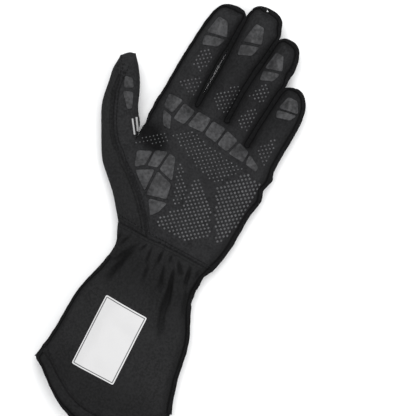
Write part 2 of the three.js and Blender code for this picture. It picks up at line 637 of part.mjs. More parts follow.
// Cuts one piece out of the skin, draws it back from its seams and gives it its wall.
function addPanel(name, wall, material) {
  const faces = skin.faces.filter((face) => face.node === name);
  const local = new Map();
  const pull = new Map();
  for (const { loop } of faces) {
    const centre = new THREE.Vector3();
    loop.forEach((index) => centre.addScaledVector(skin.points[index].at, 1 / loop.length));
    for (const index of loop) {
      if (!local.has(index)) {
        local.set(index, local.size);
        pull.set(index, new THREE.Vector3());
      }
      pull.get(index).add(centre.clone().sub(skin.points[index].at));
    }
  }
  const outer = [];
  const inner = [];
  for (const index of local.keys()) {
    const { at, side, seam } = skin.points[index];
    const point = at.clone();
    if (nodesAt[index].size > 1) {
      const away = pull.get(index).projectOnPlane(skin.normals[index]).normalize();
      point.addScaledVector(away, SEAM_GAP * 0.6);
    }
    const under = point.clone().addScaledVector(skin.normals[index], -wall);
    if (side === 'front') {
      point.z = Math.max(point.z, seam + SEAM_GAP / 2);
      under.z = Math.max(under.z, seam + SEAM_GAP / 2);
    }
    if (side === 'back') {
      under.z = Math.min(under.z, seam - SEAM_GAP / 2);
      point.z = Math.max(0, Math.min(point.z, seam - SEAM_GAP / 2));
    }
    outer.push(point);
    inner.push(under);
  }
  const loops = faces.map(({ loop }) => loop.map((index) => local.get(index)));
  addMesh(name, solidFromSheet(outer, inner, loops), material);
}

const KNIT = { color: 0x2b2b2c, roughness: 0.9, metalness: 0 };
const SMOOTH = { color: 0x262627, roughness: 0.75, metalness: 0 };
const GRIP = { color: 0x4a4a4c, roughness: 0.55, metalness: 0 };
const WHITE = { color: 0xe9e9ea, roughness: 0.6, metalness: 0 };

addPanel('palm_panel', WALL, KNIT);
addPanel('back_panel', WALL, SMOOTH);
addPanel('thumb_front', WALL, KNIT);
addPanel('thumb_back', WALL, SMOOTH);
addPanel('thumb_web', WALL, KNIT);
addPanel('cuff_front', WALL, SMOOTH);
addPanel('cuff_back', WALL, SMOOTH);
addPanel('hem_front', HEM_WALL, SMOOTH);
addPanel('hem_back', HEM_WALL, SMOOTH);

// Height of the palm side's cloth as it is cut into flat facets.
const facets = skin.faces.filter(({ loop }) => loop.some((index) => skin.points[index].side === 'front'))
  .flatMap(({ loop }) => loop.slice(2).map((_, k) => new THREE.Triangle(
    skin.points[loop[0]].at,
    skin.points[loop[k + 1]].at,
    skin.points[loop[k + 2]].at,
  )))
  .map((facet) => ({ facet, flat: [facet.a, facet.b, facet.c].map((p) => p.clone().setZ(0)) }));

function clothHeight(x, y) {
  const spot = new THREE.Vector3(x, y, 0);
  const weights = new THREE.Vector3();
  for (const { facet, flat } of facets) {
    const close = Math.abs(flat[0].x - x) < 20 && Math.abs(flat[0].y - y) < 20;
    if (close && THREE.Triangle.getBarycoord(spot, ...flat, weights) && Math.min(...weights.toArray()) > -1e-6) {
      return weights.x * facet.a.z + weights.y * facet.b.z + weights.z * facet.c.z;
    }
  }
  return SEAM_HEIGHT;
}

// A thin piece that lies on the palm side, from four corners in order round it.
function addOverlay(name, [a, b, c, d], columns, rows, thickness, material) {
  const points = [];
  for (let i = 0; i <= rows; i += 1) {
    for (let j = 0; j <= columns; j += 1) {
      const [x, y] = mixPoint(mixPoint(a, b, j / columns), mixPoint(d, c, j / columns), i / rows);
      const at = (dx, dy) => clothHeight(x + dx * BRIDGE_WIDTH, y + dy * BRIDGE_WIDTH);
      const [east, west, north, south] = [at(1, 0), at(-1, 0), at(0, 1), at(0, -1)];
      const middles = [
        (east + west) / 2, (north + south) / 2,
        (at(0.7, 0.7) + at(-0.7, -0.7)) / 2, (at(0.7, -0.7) + at(-0.7, 0.7)) / 2,
      ];
      const ridge = Math.max(0, at(0, 0) - Math.min(...middles));
      const z = Math.max(at(0, 0), ...middles) + ridge * RIDGE_SHARE;
      const normal = new THREE.Vector3(west - east, south - north, 2 * BRIDGE_WIDTH).normalize();
      points.push({ at: new THREE.Vector3(x, y, z), normal });
    }
  }
  const raised = (lift) => points.map(({ at, normal }) => at.clone().addScaledVector(normal, lift));
  const loops = [];
  for (let i = 0; i < rows; i += 1) {
    for (let j = 0; j < columns; j += 1) {
      const start = i * (columns + 1) + j;
      loops.push([start, start + columns + 1, start + columns + 2, start + 1]);
    }
  }
  const geometry = solidFromSheet(raised(OVERLAY_GAP + thickness), raised(OVERLAY_GAP), loops);
  addMesh(name, geometry, material);
}

for (const plate of PALM_PLATES) {
  const corners = [plate.a, plate.b, plate.c, plate.d].map(([across, up]) => palmPoint(across, up));
  addOverlay(plate.name, corners, 4, 4, GRIP_THICKNESS, GRIP);
}
for (const finger of FINGERS) {
  for (const plate of TIP_PLATES) {
    const corners = [plate.a, plate.b, plate.c, plate.d].map(([across, along]) => [
      finger.rootX + across * finger.width,
      finger.foot + along * finger.length,
    ]);
    addOverlay(`grip_${finger.name}_${plate.part}`, corners, 6, 4, GRIP_THICKNESS, GRIP);
  }
}
for (const plate of THUMB_PLATES) {
  const corners = [plate.a, plate.b, plate.c, plate.d].map(([across, along]) => thumbPoint(along, across));
  addOverlay(plate.name, corners, 6, 4, GRIP_THICKNESS, GRIP);
}
for (const stripe of THUMB_STRIPES) {
  const half = STRIPE_WIDTH / THUMB_WIDTH / 2;
  const corners = [
    thumbPoint(stripe.from[1], stripe.from[0] - half), thumbPoint(stripe.from[1], stripe.from[0] + half),
    thumbPoint(stripe.to[1], stripe.to[0] + half), thumbPoint(stripe.to[1], stripe.to[0] - half),
  ];
  addOverlay(stripe.name, corners, 1, 5, STRIPE_THICKNESS, WHITE);
}

// Label: a blank patch on the cuff, turned a little with the flare.
const LABEL_X = -0.11 * MOUTH_WIDTH;
const LABEL_Y = -0.563 * CUFF_LENGTH;
const LABEL_TURN = THREE.MathUtils.degToRad(2);
const labelCorner = (sideX, sideY) => {
  const dx = sideX * LABEL_WIDTH / 2;
  const dy = sideY * LABEL_HEIGHT / 2;
  const turned = [Math.cos(LABEL_TURN) * dx - Math.sin(LABEL_TURN) * dy,
    Math.sin(LABEL_TURN) * dx + Math.cos(LABEL_TURN) * dy];
  return [LABEL_X + turned[0], LABEL_Y + turned[1]];
};
const labelCorners = [labelCorner(-1, 1), labelCorner(1, 1), labelCorner(1, -1), labelCorner(-1, -1)];
addOverlay('label', labelCorners, 6, 8, LABEL_THICKNESS, WHITE);

// The origin is the middle of the underside of the whole glove's box.
const box = new THREE.Box3().setFromObject(glove);
glove.position.set(-(box.min.x + box.max.x) / 2, -(box.min.y + box.max.y) / 2, -box.min.z);

export default glove;
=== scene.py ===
"""Long-cuff karting glove, palm up: cloth, grip plates, dots, stitching and trim."""
import math

import bmesh
import bpy
from bpy.props import FloatProperty, FloatVectorProperty, PointerProperty
from mathutils import Matrix, Vector, kdtree, noise
from mathutils.bvhtree import BVHTree


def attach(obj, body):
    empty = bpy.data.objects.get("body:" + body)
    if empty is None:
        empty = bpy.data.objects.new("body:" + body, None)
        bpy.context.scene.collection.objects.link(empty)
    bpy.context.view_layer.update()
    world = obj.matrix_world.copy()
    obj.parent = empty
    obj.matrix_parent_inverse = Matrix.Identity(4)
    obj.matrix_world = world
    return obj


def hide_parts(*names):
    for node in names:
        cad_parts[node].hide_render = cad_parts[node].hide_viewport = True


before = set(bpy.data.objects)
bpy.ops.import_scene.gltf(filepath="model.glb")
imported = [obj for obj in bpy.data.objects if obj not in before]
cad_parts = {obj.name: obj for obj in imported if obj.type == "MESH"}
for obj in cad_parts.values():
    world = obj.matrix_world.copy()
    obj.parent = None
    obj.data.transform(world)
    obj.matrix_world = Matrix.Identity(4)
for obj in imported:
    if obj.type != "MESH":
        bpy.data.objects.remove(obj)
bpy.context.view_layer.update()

bl_info = {
    "name": "Karting Glove",
    "version": (1, 0, 0),
    "blender": (4, 5, 0),
    "location": "View3D > Sidebar > Karting Glove",
    "description": "Builds the cloth, grip plates, dots and stitching of a long-cuff karting glove",
    "category": "Object",
}

# Tables and plan coordinates are in millimetres from the middle of the wrist seam.
MM = 0.001
SEAM_MIDDLE = Vector((0.026367, -0.0216, 0.0))
KNUCKLE_WIDTH = 97.5
PALM_LENGTH = 100.0
HAND_LIP = 2.8  # width of the sewn lip round the hand
CUFF_LIP = 2.4
FAR = 12.0  # edge and seam distances count up to here
OUTLINE_REACH = 9.0  # how far in the cloth follows a move of its outline
SEWN = 0.9  # edges nearer than this to another piece are sewn to it
WELD = 0.62  # gap that is welded inside a piece
SEAM_ROW = 2.1  # from a seam to the stitch rows beside it
ROW_PITCH = 0.7  # spacing of the points in LIP_ROWS
SINK = 0.12  # depth of a plate's underside in the cloth

# Cloth pieces: piece, its CAD nodes, side, cloth, slot, wall and width of its sewn lip.
CLOTH_PIECES = (
    ("palm_cloth", ("palm_panel", "thumb_front", "thumb_web"), "front", "suede", "palm_cloth",
     1.4, HAND_LIP),
    ("thumb_outer_cloth", ("thumb_back",), "front", "knit", "back_cloth", 1.4, 0),
    ("cuff_front_cloth", ("cuff_front",), "front", "cuff knit", "back_cloth", 1.4, CUFF_LIP),
    ("hem_front_cloth", ("hem_front",), "front", "cuff knit", "back_cloth", 2.2, CUFF_LIP),
    ("back_cloth", ("back_panel",), "back", "knit", "back_cloth", 1.4, HAND_LIP),
    ("cuff_back_cloth", ("cuff_back",), "back", "cuff knit", "back_cloth", 1.4, CUFF_LIP),
    ("hem_back_cloth", ("hem_back",), "back", "cuff knit", "back_cloth", 2.2, CUFF_LIP),
)

# Places where the cloth dips, with painted shade in them: middle, radius and strength.
HOLLOWS = (
    (-61, 65, 8, 1.1), (-55, 61, 7, 0.95), (-48, 59, 6, 0.7), (-41, 99, 4, 0.6),
    (-17, 100, 4, 0.6), (4, 97, 4, 0.6),
)

# Places where the outline leans out or in: middle, radius and move.
BULGES = (
    (-101, 107, 9, 1.7, 0.9), (-107, 97, 6, 0.9, 0.5), (-87, 97, 12, 0.4, 0.2),
    (-73, 68, 7, 1.9, 1.0), (-93, 52, 24, -0.8, -0.45), (-50, -84, 22, 0.6, 0.3),
    (-37, -124, 16, 0.7, 0.9), (-22, -140, 18, 0.3, 1.4), (25, 140, 8, -0.9, -0.5),
    (32.5, 77, 3.5, 1.3, 0.7), (31, 69.5, 3.5, -1.6, -0.9), (31.5, 61, 4, 0.5, 0.3),
    (30.5, 23, 3, 0.6, 0.3), (-46, 171, 5.5, 1.8, 0.6), (-12, 170, 5, 0.7, 0.4),
    (-50, 178, 5, 0.5, 0.6), (8, 156, 9, 1.3, 0.7), (8.5, 150, 4.5, 1.0, 0.4),
    (-6, 178, 5, -0.3, 0.4), (-52, -110, 8, -0.3, -3.9), (-27, 0, 10, 2.6, -1.8),
    (-48, -1, 12, 1.3, -2.4),
)

# Places where neighbouring fingers touch higher up: middle, radius and added reach.
MEETINGS = ((-42, 171, 7, 3.0), (10, 146, 7, 3.0))

# Gathers of the wrist: from, to, half-width and depth of the valley.
GATHERS = (
    (-29, -14, -35, -40, 2.6, 2.2), (-29, -8, -37, -28, 2.0, 1.4), (4, -14, 12, -38, 2.4, 2.4),
    (3, -5, 10, -13, 1.8, 1.6), (13, -5, 16, -18, 1.9, 1.8), (23, -8, 22, -24, 1.8, 1.6),
    (-4, -12, 1, -28, 1.7, 1.1), (-19, -5, -16, -18, 1.7, 0.9), (-43, -6, -42, -20, 1.8, 1.0),
    (-10, -4, -9, -14, 1.5, 1.0), (6, -30, 18, -58, 3.4, 1.3), (19, -4, 20, -11, 1.5, 1.3),
    (-24, -4, -25, -12, 1.5, 0.8), (-3, -4, -1, -9, 1.4, 1.0), (-37, -5, -39, -15, 1.7, 1.0),
    (18, -20, 26, -40, 2.2, 1.2), (-14, -16, -12, -30, 2.2, 0.7),
)

# Soft creases where the hand and cuff bend: from, to, half-width and depth.
CREASES = (
    (-52, 92, -30, 97, 3.0, 0.35), (-22, 96, 4, 95, 3.0, 0.3), (6, 90, 22, 82, 2.6, 0.3),
    (-58, 40, -26, 14, 4.0, 0.45), (-4, 6, 22, 10, 3.2, 0.35), (-20, 66, 16, 60, 4.0, 0.35),
    (-62, 124, -42, 126, 2.6, 0.35), (-30, 140, -12, 141, 2.6, 0.3), (0, 132, 16, 128, 2.6, 0.3),
    (-20, -64, 36, -84, 9.0, 0.8), (-44, -56, -38, -104, 6.0, 0.9), (12, -70, 34, -112, 8.0, 1.0),
    (12, -48, 16, -80, 5.0, 0.9), (28, -40, 30, -76, 4.0, 0.7), (-38, -110, 20, -122, 7.0, 0.6),
)

# Plan corners of the label and of the stripes on the thumb's inner edge.
LABEL_CORNERS = ((-29.3, -51.1), (3.9, -51.1), (6.4, -104.4), (-26.9, -105.4))
STRIPE_CORNERS = {
    "thumb_stripe_1": ((-75.9, 66.9), (-75.1, 67.5), (-68.1, 58.2), (-68.9, 57.6)),
    "thumb_stripe_2": ((-74.2, 69.3), (-73.3, 69.9), (-67.5, 61.5), (-68.4, 60.9)),
}

# Grip plates of the palm, numbered from 1: corners as shares of knuckle width and palm length.
PALM_PLATES = {
    "grip_arc": (
        ((-0.626, 0.96), (-0.515, 0.965), (-0.535, 0.845), (-0.615, 0.86)),
        ((-0.606, 0.84), (-0.53, 0.825), (-0.49, 0.735), (-0.554, 0.74)),
        ((-0.498, 0.952), (-0.396, 0.935), (-0.422, 0.812), (-0.51, 0.815)),
        ((-0.374, 0.948), (-0.267, 0.945), (-0.272, 0.83), (-0.396, 0.82)),
        ((-0.251, 0.94), (-0.138, 0.935), (-0.154, 0.812), (-0.256, 0.825)),
        ((-0.122, 0.93), (-0.02, 0.905), (-0.052, 0.795), (-0.138, 0.808)),
        ((-0.004, 0.9), (0.092, 0.87), (0.092, 0.785), (-0.036, 0.79)),
        ((0.108, 0.86), (0.205, 0.81), (0.205, 0.77), (0.108, 0.785)),
    ),
    "grip_thenar": (
        ((-0.626, 0.49), (-0.523, 0.54), (-0.518, 0.43), (-0.58, 0.38)),
        ((-0.508, 0.555), (-0.42, 0.59), (-0.43, 0.455), (-0.502, 0.43)),
        ((-0.405, 0.585), (-0.354, 0.58), (-0.292, 0.42), (-0.415, 0.45)),
        ((-0.564, 0.365), (-0.441, 0.435), (-0.43, 0.27), (-0.492, 0.31)),
        ((-0.42, 0.435), (-0.287, 0.4), (-0.261, 0.29), (-0.41, 0.25)),
        ((-0.38, 0.235), (-0.241, 0.27), (-0.267, 0.18), (-0.308, 0.13)),
    ),
}

# Fields of printed dots: size against a full dot, and outline.
DOT_FIELDS = (
    (0.76, ((-45.5, 71.5), (-36, 80.5), (-29, 80.5), (-18, 77), (0, 75.5), (12, 75), (8, 66),
            (-2, 56.5), (-10, 57), (-20, 60.5), (-30, 65))),
    (1.12, ((1.5, 54), (15, 73.5), (28, 71), (29, 62), (28.5, 48), (26, 28), (21.5, 17.5),
            (15, 27), (10.5, 35.5), (5, 46))),
    (1.0, ((-17, 54), (-10, 51), (-1, 44), (7, 35.5), (14, 22), (12, 16.5), (1, 10.5), (-10, 9),
           (-21, 9), (-25, 12), (-19, 24), (-12, 32), (-14, 42))),
    (0.9, ((-31, 57), (-26, 54), (-18, 44), (-13, 35), (-19, 27), (-25, 39))),
    (0.66, ((-66, 54), (-60, 62), (-50, 71), (-45.5, 66), (-47, 59.5), (-56, 58), (-63, 51.5))),
    (0.78, ((-58.5, 123), (-50, 119.5), (-47, 124), (-47, 136), (-51, 138), (-56, 134))),
    (0.82, ((-60, 108.5), (-47, 119.5), (-44, 111), (-43.5, 102), (-50, 102), (-57, 105.5))),
    (0.82, ((-33.5, 109), (-27, 118.5), (-19.5, 128), (-17, 118), (-18.5, 102), (-28, 103))),
    (0.82, ((-11.5, 122), (-8, 131), (-4, 136.5), (0.5, 134), (0.5, 122))),
    (0.82, ((-10.5, 103.5), (-6, 113), (-1, 118.5), (2, 111), (1.5, 99.5), (-6, 99.5))),
    (0.82, ((12, 92), (16, 99.5), (21.5, 105), (24.5, 95), (23.5, 84.5), (18, 85.5))),
)

# Rows of points along the sewn edges: filled by the cloth panels, read by the stitching.
LIP_ROWS = {}


def spot(x, y, z=0.0):
    return Vector((x * MM, y * MM, z * MM)) + SEAM_MIDDLE


def plan(point):
    return (point.x - SEAM_MIDDLE.x) / MM, (point.y - SEAM_MIDDLE.y) / MM


def level(vector):
    return Vector((vector.x, vector.y, 0))


def bell(value, width):
    return math.exp(-((value / width) ** 2))


def smooth_step(t):
    t = min(1.0, max(0.0, t))
    return t * t * (3 - 2 * t)


def select_only(piece):
    bpy.ops.object.select_all(action="DESELECT")
    piece.select_set(True)
    bpy.context.view_layer.objects.active = piece


def add_piece(name, mesh):
    piece = bpy.data.objects.new(name, mesh)
    bpy.context.scene.collection.objects.link(piece)
    select_only(piece)
    return piece


def apply_all(piece):
    select_only(piece)
    for modifier in list(piece.modifiers):
        bpy.ops.object.modifier_apply(modifier=modifier.name)


def drop_rays(*names):
    """Search tree of the named pieces, to set others down on them from above."""
    corners, faces = [], []
    for name in names:
        mesh = bpy.data.objects[name].data
        start = len(corners)
        corners.extend(v.co.copy() for v in mesh.vertices)
        faces.extend([start + i for i in p.vertices] for p in mesh.polygons)
    return BVHTree.FromPolygons(corners, faces)


def land(tree, x, y):
    """Point and normal of the cloth under a plan position, or None beside it."""
    hit = tree.ray_cast(spot(x, y, 80), Vector((0, 0, -1)))
    return (hit[0], hit[1]) if hit[0] is not None else None


def inside(field, x, y):
    within = False
    for (x0, y0), (x1, y1) in zip(field, field[1:] + field[:1]):
        if (y0 > y) != (y1 > y) and x < (x1 - x0) * (y - y0) / (y1 - y0) + x0:
            within = not within
    return within


def point_tree(points):
    tree = kdtree.KDTree(max(1, len(points)))
    for index, point in enumerate(points or [Vector((9, 9, 9))]):
        tree.insert(point, index)
    tree.balance()
    return tree


# Materials

def feed(tree, socket, value):
    """Links an output to a socket, or sets the socket to a number or colour."""
    if isinstance(value, bpy.types.NodeSocket):
        tree.links.new(value, socket)
    elif isinstance(value, (int, float)):
        socket.default_value = value
    else:
        socket.default_value = (*value, 1.0)


def add_node(tree, kind, values, output=0, **settings):
    """Adds a node with these settings and input values, and gives one of its outputs."""
    node = tree.nodes.new(kind)
    for name, value in settings.items():
        setattr(node, name, value)
    for label, value in values.items():
        feed(tree, node.inputs[label], value)
    return node.outputs[output]


def math_node(tree, operation, *values):
    return add_node(tree, "ShaderNodeMath", dict(enumerate(values)), operation=operation)


def weigh(tree, first, first_share, second, second_share):
    """Sum of two values, each times its share."""
    return math_node(tree, "ADD", math_node(tree, "MULTIPLY", first, first_share),
                     math_node(tree, "MULTIPLY", second, second_share))


def largest(tree, first, *others):
    for other in others:
        first = math_node(tree, "MAXIMUM", first, other)
    return first


def noise_node(tree, vector, scale, detail=2.0, roughness=0.5):
    return add_node(tree, "ShaderNodeTexNoise", {
        "Vector": vector, "Scale": scale, "Detail": detail, "Roughness": roughness})


def ramp_node(tree, value, low, high, to_low=0.0, to_high=1.0):
    return add_node(tree, "ShaderNodeMapRange", {
        "Value": value, "From Min": low, "From Max": high, "To Min": to_low, "To Max": to_high},
        interpolation_type="SMOOTHSTEP")


def mix_node(tree, factor, first, second):
    return add_node(tree, "ShaderNodeMix", {0: factor, 6: first, 7: second}, 2, data_type="RGBA")


def new_group(name, inputs, outputs):
    """Node group of number sockets, or vectors where no value is given."""
    group = bpy.data.node_groups.new(name, "ShaderNodeTree")
    for label, value in inputs.items():
        kind = "NodeSocketVector" if value is None else "NodeSocketFloat"
        socket = group.interface.new_socket(label, in_out="INPUT", socket_type=kind)
        if value is not None:
            socket.default_value = value
    for label in outputs:
        group.interface.new_socket(label, in_out="OUTPUT", socket_type="NodeSocketFloat")
    return group, group.nodes.new("NodeGroupInput").outputs


def end_group(group, *values):
    end = group.nodes.new("NodeGroupOutput")
    for socket, value in zip(end.inputs, values):
        group.links.new(value, socket)
    return group


def knit_group():
    """Fine knit: rows of small loops, as a height and a tone."""
    group, given = new_group(
        "Fine knit", {"Vector": None, "Loop width": 0.0011}, ("Height", "Tone"))
    split = group.nodes.new("ShaderNodeSeparateXYZ")
    group.links.new(given[0], split.inputs[0])
    turn = math_node(group, "DIVIDE", 2 * math.pi, given[1])
    across = math_node(group, "MULTIPLY", split.outputs[0], turn)
    along = math_node(group, "MULTIPLY", math_node(group, "MULTIPLY", split.outputs[1], turn), 1.35)
    ridge = math_node(group, "ABSOLUTE", math_node(group, "SINE", across))
    slant = math_node(group, "MULTIPLY", ridge, 2.2)
    row = math_node(group, "SINE", math_node(group, "ADD", along, slant))
    wool = noise_node(group, given[0], 2400.0, 3.0, 0.6)
    height = math_node(group, "ADD", weigh(group, row, 0.35, ridge, 0.5),
                       math_node(group, "MULTIPLY", wool, 0.5))
    return end_group(group, height, ramp_node(group, height, -0.1, 1.1))


def nap_group():
    """Brushed suede: short nap lying in patches, as a height and a tone."""
    group, given = new_group("Suede nap", {"Vector": None, "Nap size": 900.0}, ("Height", "Tone"))
    fibre = noise_node(group, given[0], given[1], 4.0, 0.65)
    patch = noise_node(group, given[0], 140.0, 3.0, 0.55)
    return end_group(group, fibre, ramp_node(group, weigh(group, fibre, 0.5, patch, 0.5), 0.3, 0.7))


def mottle_group():
    """Cast silicone: soft cloudy mottling and a fine pebbled face."""
    group, given = new_group(
        "Silicone mottle", {"Vector": None, "Cloud size": 420.0}, ("Height", "Tone"))
    cloud = noise_node(group, given[0], given[1], 3.0, 0.6)
    wide = noise_node(group, given[0], 120.0, 2.0, 0.5)
    pebble = noise_node(group, given[0], 1500.0, 2.0, 0.5)
    both = weigh(group, cloud, 0.6, wide, 0.4)
    return end_group(group, pebble, ramp_node(group, both, 0.36, 0.66))


def sewn_group():
    """Painted shade at the sewn lips and beside them, and darker seam lines, from the distances to
    them.
    """
    group, given = new_group("Sewn grooves", {
        "Edge distance": FAR, "Seam distance": FAR, "Lip width": HAND_LIP, "Seam shade": 0.45},
        ("Shade", "Height"))
    edge, seam, width, strength = given[:4]
    middle = math_node(group, "ADD", width, 0.6)
    beside = math_node(group, "ABSOLUTE", math_node(group, "SUBTRACT", edge, middle))
    # Painted shade: darkest in the groove beside the lip, a wide fade across the rounded cloth, and
    # on the lip, darkest at its brink.
    groove = ramp_node(group, beside, 0.0, 2.0, 0.97, 0.0)
    wide = ramp_node(group, edge, width, 9.5, 0.6, 0.0)
    brink = ramp_node(group, edge, 0.0, 1.3, 0.8, 0.28)
    lip = math_node(group, "MULTIPLY", brink, math_node(group, "LESS_THAN", edge, middle))
    # Seam lines and stitch rows: partly dark joint and stitching, partly painted shade in the
    # seam's crease.
    row = math_node(group, "ABSOLUTE", math_node(group, "SUBTRACT", seam, SEAM_ROW))
    lines = largest(group, ramp_node(group, seam, 0.1, 1.3, 1.0, 0.3),
                    ramp_node(group, row, 0.1, 0.9, 0.9, 0.0))
    lines = math_node(group, "MULTIPLY", lines, ramp_node(group, seam, 2.2, 3.4, 1.0, 0.0))
    lines = math_node(group, "MULTIPLY", lines, strength)
    return end_group(group, largest(group, groove, wide, lip, lines),
                     math_node(group, "SUBTRACT", 1.0, groove))


GROUP_MAKERS = {"Fine knit": knit_group, "Suede nap": nap_group, "Silicone mottle": mottle_group,
                "Sewn grooves": sewn_group}


def place_group(tree, name, values):
    """Outputs of a shared node group with these input values; it is made at its first use."""
    node = tree.nodes.new("ShaderNodeGroup")
    node.node_tree = bpy.data.node_groups.get(name) or GROUP_MAKERS[name]()
    for label, value in values.items():
        feed(tree, node.inputs[label], value)
    return node.outputs


def start_material(name):
    material = bpy.data.materials.new(name)
    material.use_nodes = True
    tree = material.node_tree
    where = tree.nodes.new("ShaderNodeTexCoord").outputs["Object"]
    return material, tree, tree.nodes["Principled BSDF"].inputs, where


def finish_surface(tree, inputs, colour, roughness, specular, height, strength, distance):
    """Feeds a material's colour, roughness, shine and bump."""
    feed(tree, inputs["Base Color"], colour)
    feed(tree, inputs["Roughness"], roughness)
    inputs["Specular IOR Level"].default_value = specular
    feed(tree, inputs["Normal"], add_node(tree, "ShaderNodeBump", {
        "Strength": strength, "Distance": distance, "Height": height}))


def cloth_material(name, weave, dark, light, lip=None):
    """Knit or suede; where it has a lip width, with painted shade at the sewn edges and from the
    painted shade attribute.
    """
    material, tree, inputs, where = start_material(name)
    cloth = place_group(tree, weave, {"Vector": where})
    grain = ramp_node(tree, noise_node(tree, where, 620.0, 3.0, 0.6), 0.34, 0.66)
    colour = mix_node(tree, weigh(tree, cloth["Tone"], 0.45, grain, 0.55), dark, light)
    wide = ramp_node(tree, noise_node(tree, where, 45.0, 3.0), 0.35, 0.7, 0.0, 0.3)
    colour = mix_node(tree, wide, colour, light)
    height = cloth["Height"]
    if lip:
        edge, seam, painted_shade = (add_node(tree, "ShaderNodeAttribute", {}, "Fac", attribute_name=label)
                           for label in ("edge_mm", "seam_mm", "painted_shade"))
        sewn = place_group(tree, "Sewn grooves", {
            "Edge distance": edge, "Seam distance": seam, "Lip width": lip})
        # Painted shade: the sewn edges' shade and the vertices' painted shade, mixed towards near
        # black.
        shade = largest(tree, sewn["Shade"], math_node(tree, "MULTIPLY", painted_shade, 0.8))
        colour = mix_node(tree, shade, colour, (0.0015, 0.0015, 0.0016))
        height = weigh(tree, height, 0.45, sewn["Height"], 1.4)
    rough = ramp_node(tree, cloth["Tone"], 0.0, 1.0, 0.82, 0.96)
    inputs["Sheen Weight"].default_value = 0.012 if weave == "Suede nap" else 0.008
    inputs["Sheen Roughness"].default_value = 0.5
    finish_surface(tree, inputs, colour, rough, 0.06, height, 0.55, 0.0003)
    return material


def grip_material(name, dark, light, roughness):
    """Cast silicone."""
    material, tree, inputs, where = start_material(name)
    face = place_group(tree, "Silicone mottle", {"Vector": where})
    colour = mix_node(tree, face["Tone"], dark, light)
    rough = ramp_node(tree, face["Tone"], 0.0, 1.0, roughness + 0.12, roughness)
    finish_surface(tree, inputs, colour, rough, 0.2, face["Height"], 0.35, 0.00012)
    return material


def patch_material(name, dark, light):
    """Woven white patch."""
    material, tree, inputs, where = start_material(name)
    weave = place_group(tree, "Fine knit", {"Vector": where, "Loop width": 0.0007})
    colour = mix_node(tree, weave["Tone"], dark, light)
    rough = ramp_node(tree, weave["Tone"], 0.0, 1.0, 0.55, 0.7)
    finish_surface(tree, inputs, colour, rough, 0.3, weave["Height"], 0.25, 0.0001)
    return material


def thread_material(name, dark, light):
    """Twisted sewing thread."""
    material, tree, inputs, where = start_material(name)
    twist = noise_node(tree, where, 3200.0, 2.0)
    colour = mix_node(tree, ramp_node(tree, twist, 0.35, 0.65), dark, light)
    rough = ramp_node(tree, twist, 0.3, 0.7, 0.45, 0.7)
    finish_surface(tree, inputs, colour, rough, 0.12, twist, 0.4, 0.0001)
    return material


# Settings

def colour_setting(name, description, value):
    return FloatVectorProperty(name=name, description=description, subtype="COLOR", min=0, max=1,
                               default=value)


def length_setting(name, description, least, most, value):
    return FloatProperty(name=name, description=description, subtype="DISTANCE", unit="LENGTH",
                         min=least, max=most, default=value)


def share_setting(name, description, least, most, value):
    return FloatProperty(name=name, description=description, subtype="FACTOR", min=least, max=most,
                         default=value)


class ClothSettings(bpy.types.PropertyGroup):
    suede_colour: colour_setting(
        "Suede", "Colour of the palm side's suede cloth", (0.0172, 0.0172, 0.0179))
    knit_colour: colour_setting(
        "Knit", "Colour of the thumb's, back's and cuff's knit", (0.0158, 0.0158, 0.0162))
    lining_colour: colour_setting(
        "Lining", "Colour of the cloth's inner face", (0.011, 0.011, 0.012))
    groove_depth: length_setting(
        "Groove depth", "Depth of the groove beside the seam lips", 0, 0.003, 0.0008)
    gather_scale: share_setting("Gathers", "Strength of the wrist's gathers", 0, 2, 1.55)
    ripple: length_setting("Lip ripple", "How far the sewn edges wander", 0, 0.002, 0.0004)
    finger_gap: length_setting(
        "Finger gap", "Gap left between fingers that lie side by side", 0, 0.005, 0.0004)
    lip_press: share_setting(
        "Lip press", "How far the lips are pressed flat between the fingers", 0, 2, 0.8)
    outline_spare: length_setting(
        "Outline spare", "Cloth added at the outline, which smoothing takes away",
        0, 0.002, 0.0005)


class GripSettings(bpy.types.PropertyGroup):
    plate_dark: colour_setting(
        "Plate, dark", "Darker tone of the grip plates", (0.0190, 0.0190, 0.0197))
    plate_light: colour_setting(
        "Plate, light", "Lighter tone of the grip plates", (0.0525, 0.0525, 0.0545))
    plate_thickness: length_setting(
        "Plate thickness", "Thickness of a grip plate", 0.0002, 0.002, 0.00065)
    corner_radius: length_setting(
        "Corner radius", "Radius of a plate's corners in plan", 0, 0.004, 0.0016)
    tip_shrink: share_setting(
        "Fingertip plates", "Size of the fingertip plates against their solids", 0.5, 1, 0.87)
    dot_pitch: length_setting(
        "Dot pitch", "Distance between neighbouring dots", 0.001, 0.01, 0.0027)
    dot_diameter: length_setting(
        "Dot diameter", "Diameter of a printed dot", 0.0005, 0.003, 0.0017)


class TrimSettings(bpy.types.PropertyGroup):
    patch_colour: colour_setting("White", "Colour of the label and stripes", (0.584, 0.580, 0.579))
    line_colour: colour_setting(
        "Label line", "Colour of the label's thin inset line", (0.11, 0.112, 0.115))
    thread_colour: colour_setting(
        "Thread", "Colour of the sewing thread", (0.004, 0.004, 0.0042))
    stitch_pitch: length_setting(
        "Stitch pitch", "Distance from stitch to stitch", 0.001, 0.008, 0.0028)
    thread_diameter: length_setting(
        "Thread size", "Diameter of the sewing thread", 0.0001, 0.002, 0.0007)


class StageSettings(bpy.types.PropertyGroup):
    floor_colour: colour_setting("Floor", "Colour of the floor", (0.95, 0.95, 0.95))
    light_power: FloatProperty(
        name="Light", description="Power of the large soft light",
        unit="POWER", min=0, max=500, default=33.0)
    camera_height: length_setting(
        "Camera height", "Height of the camera above the glove", 0.3, 5, 1.248)


# Cloth

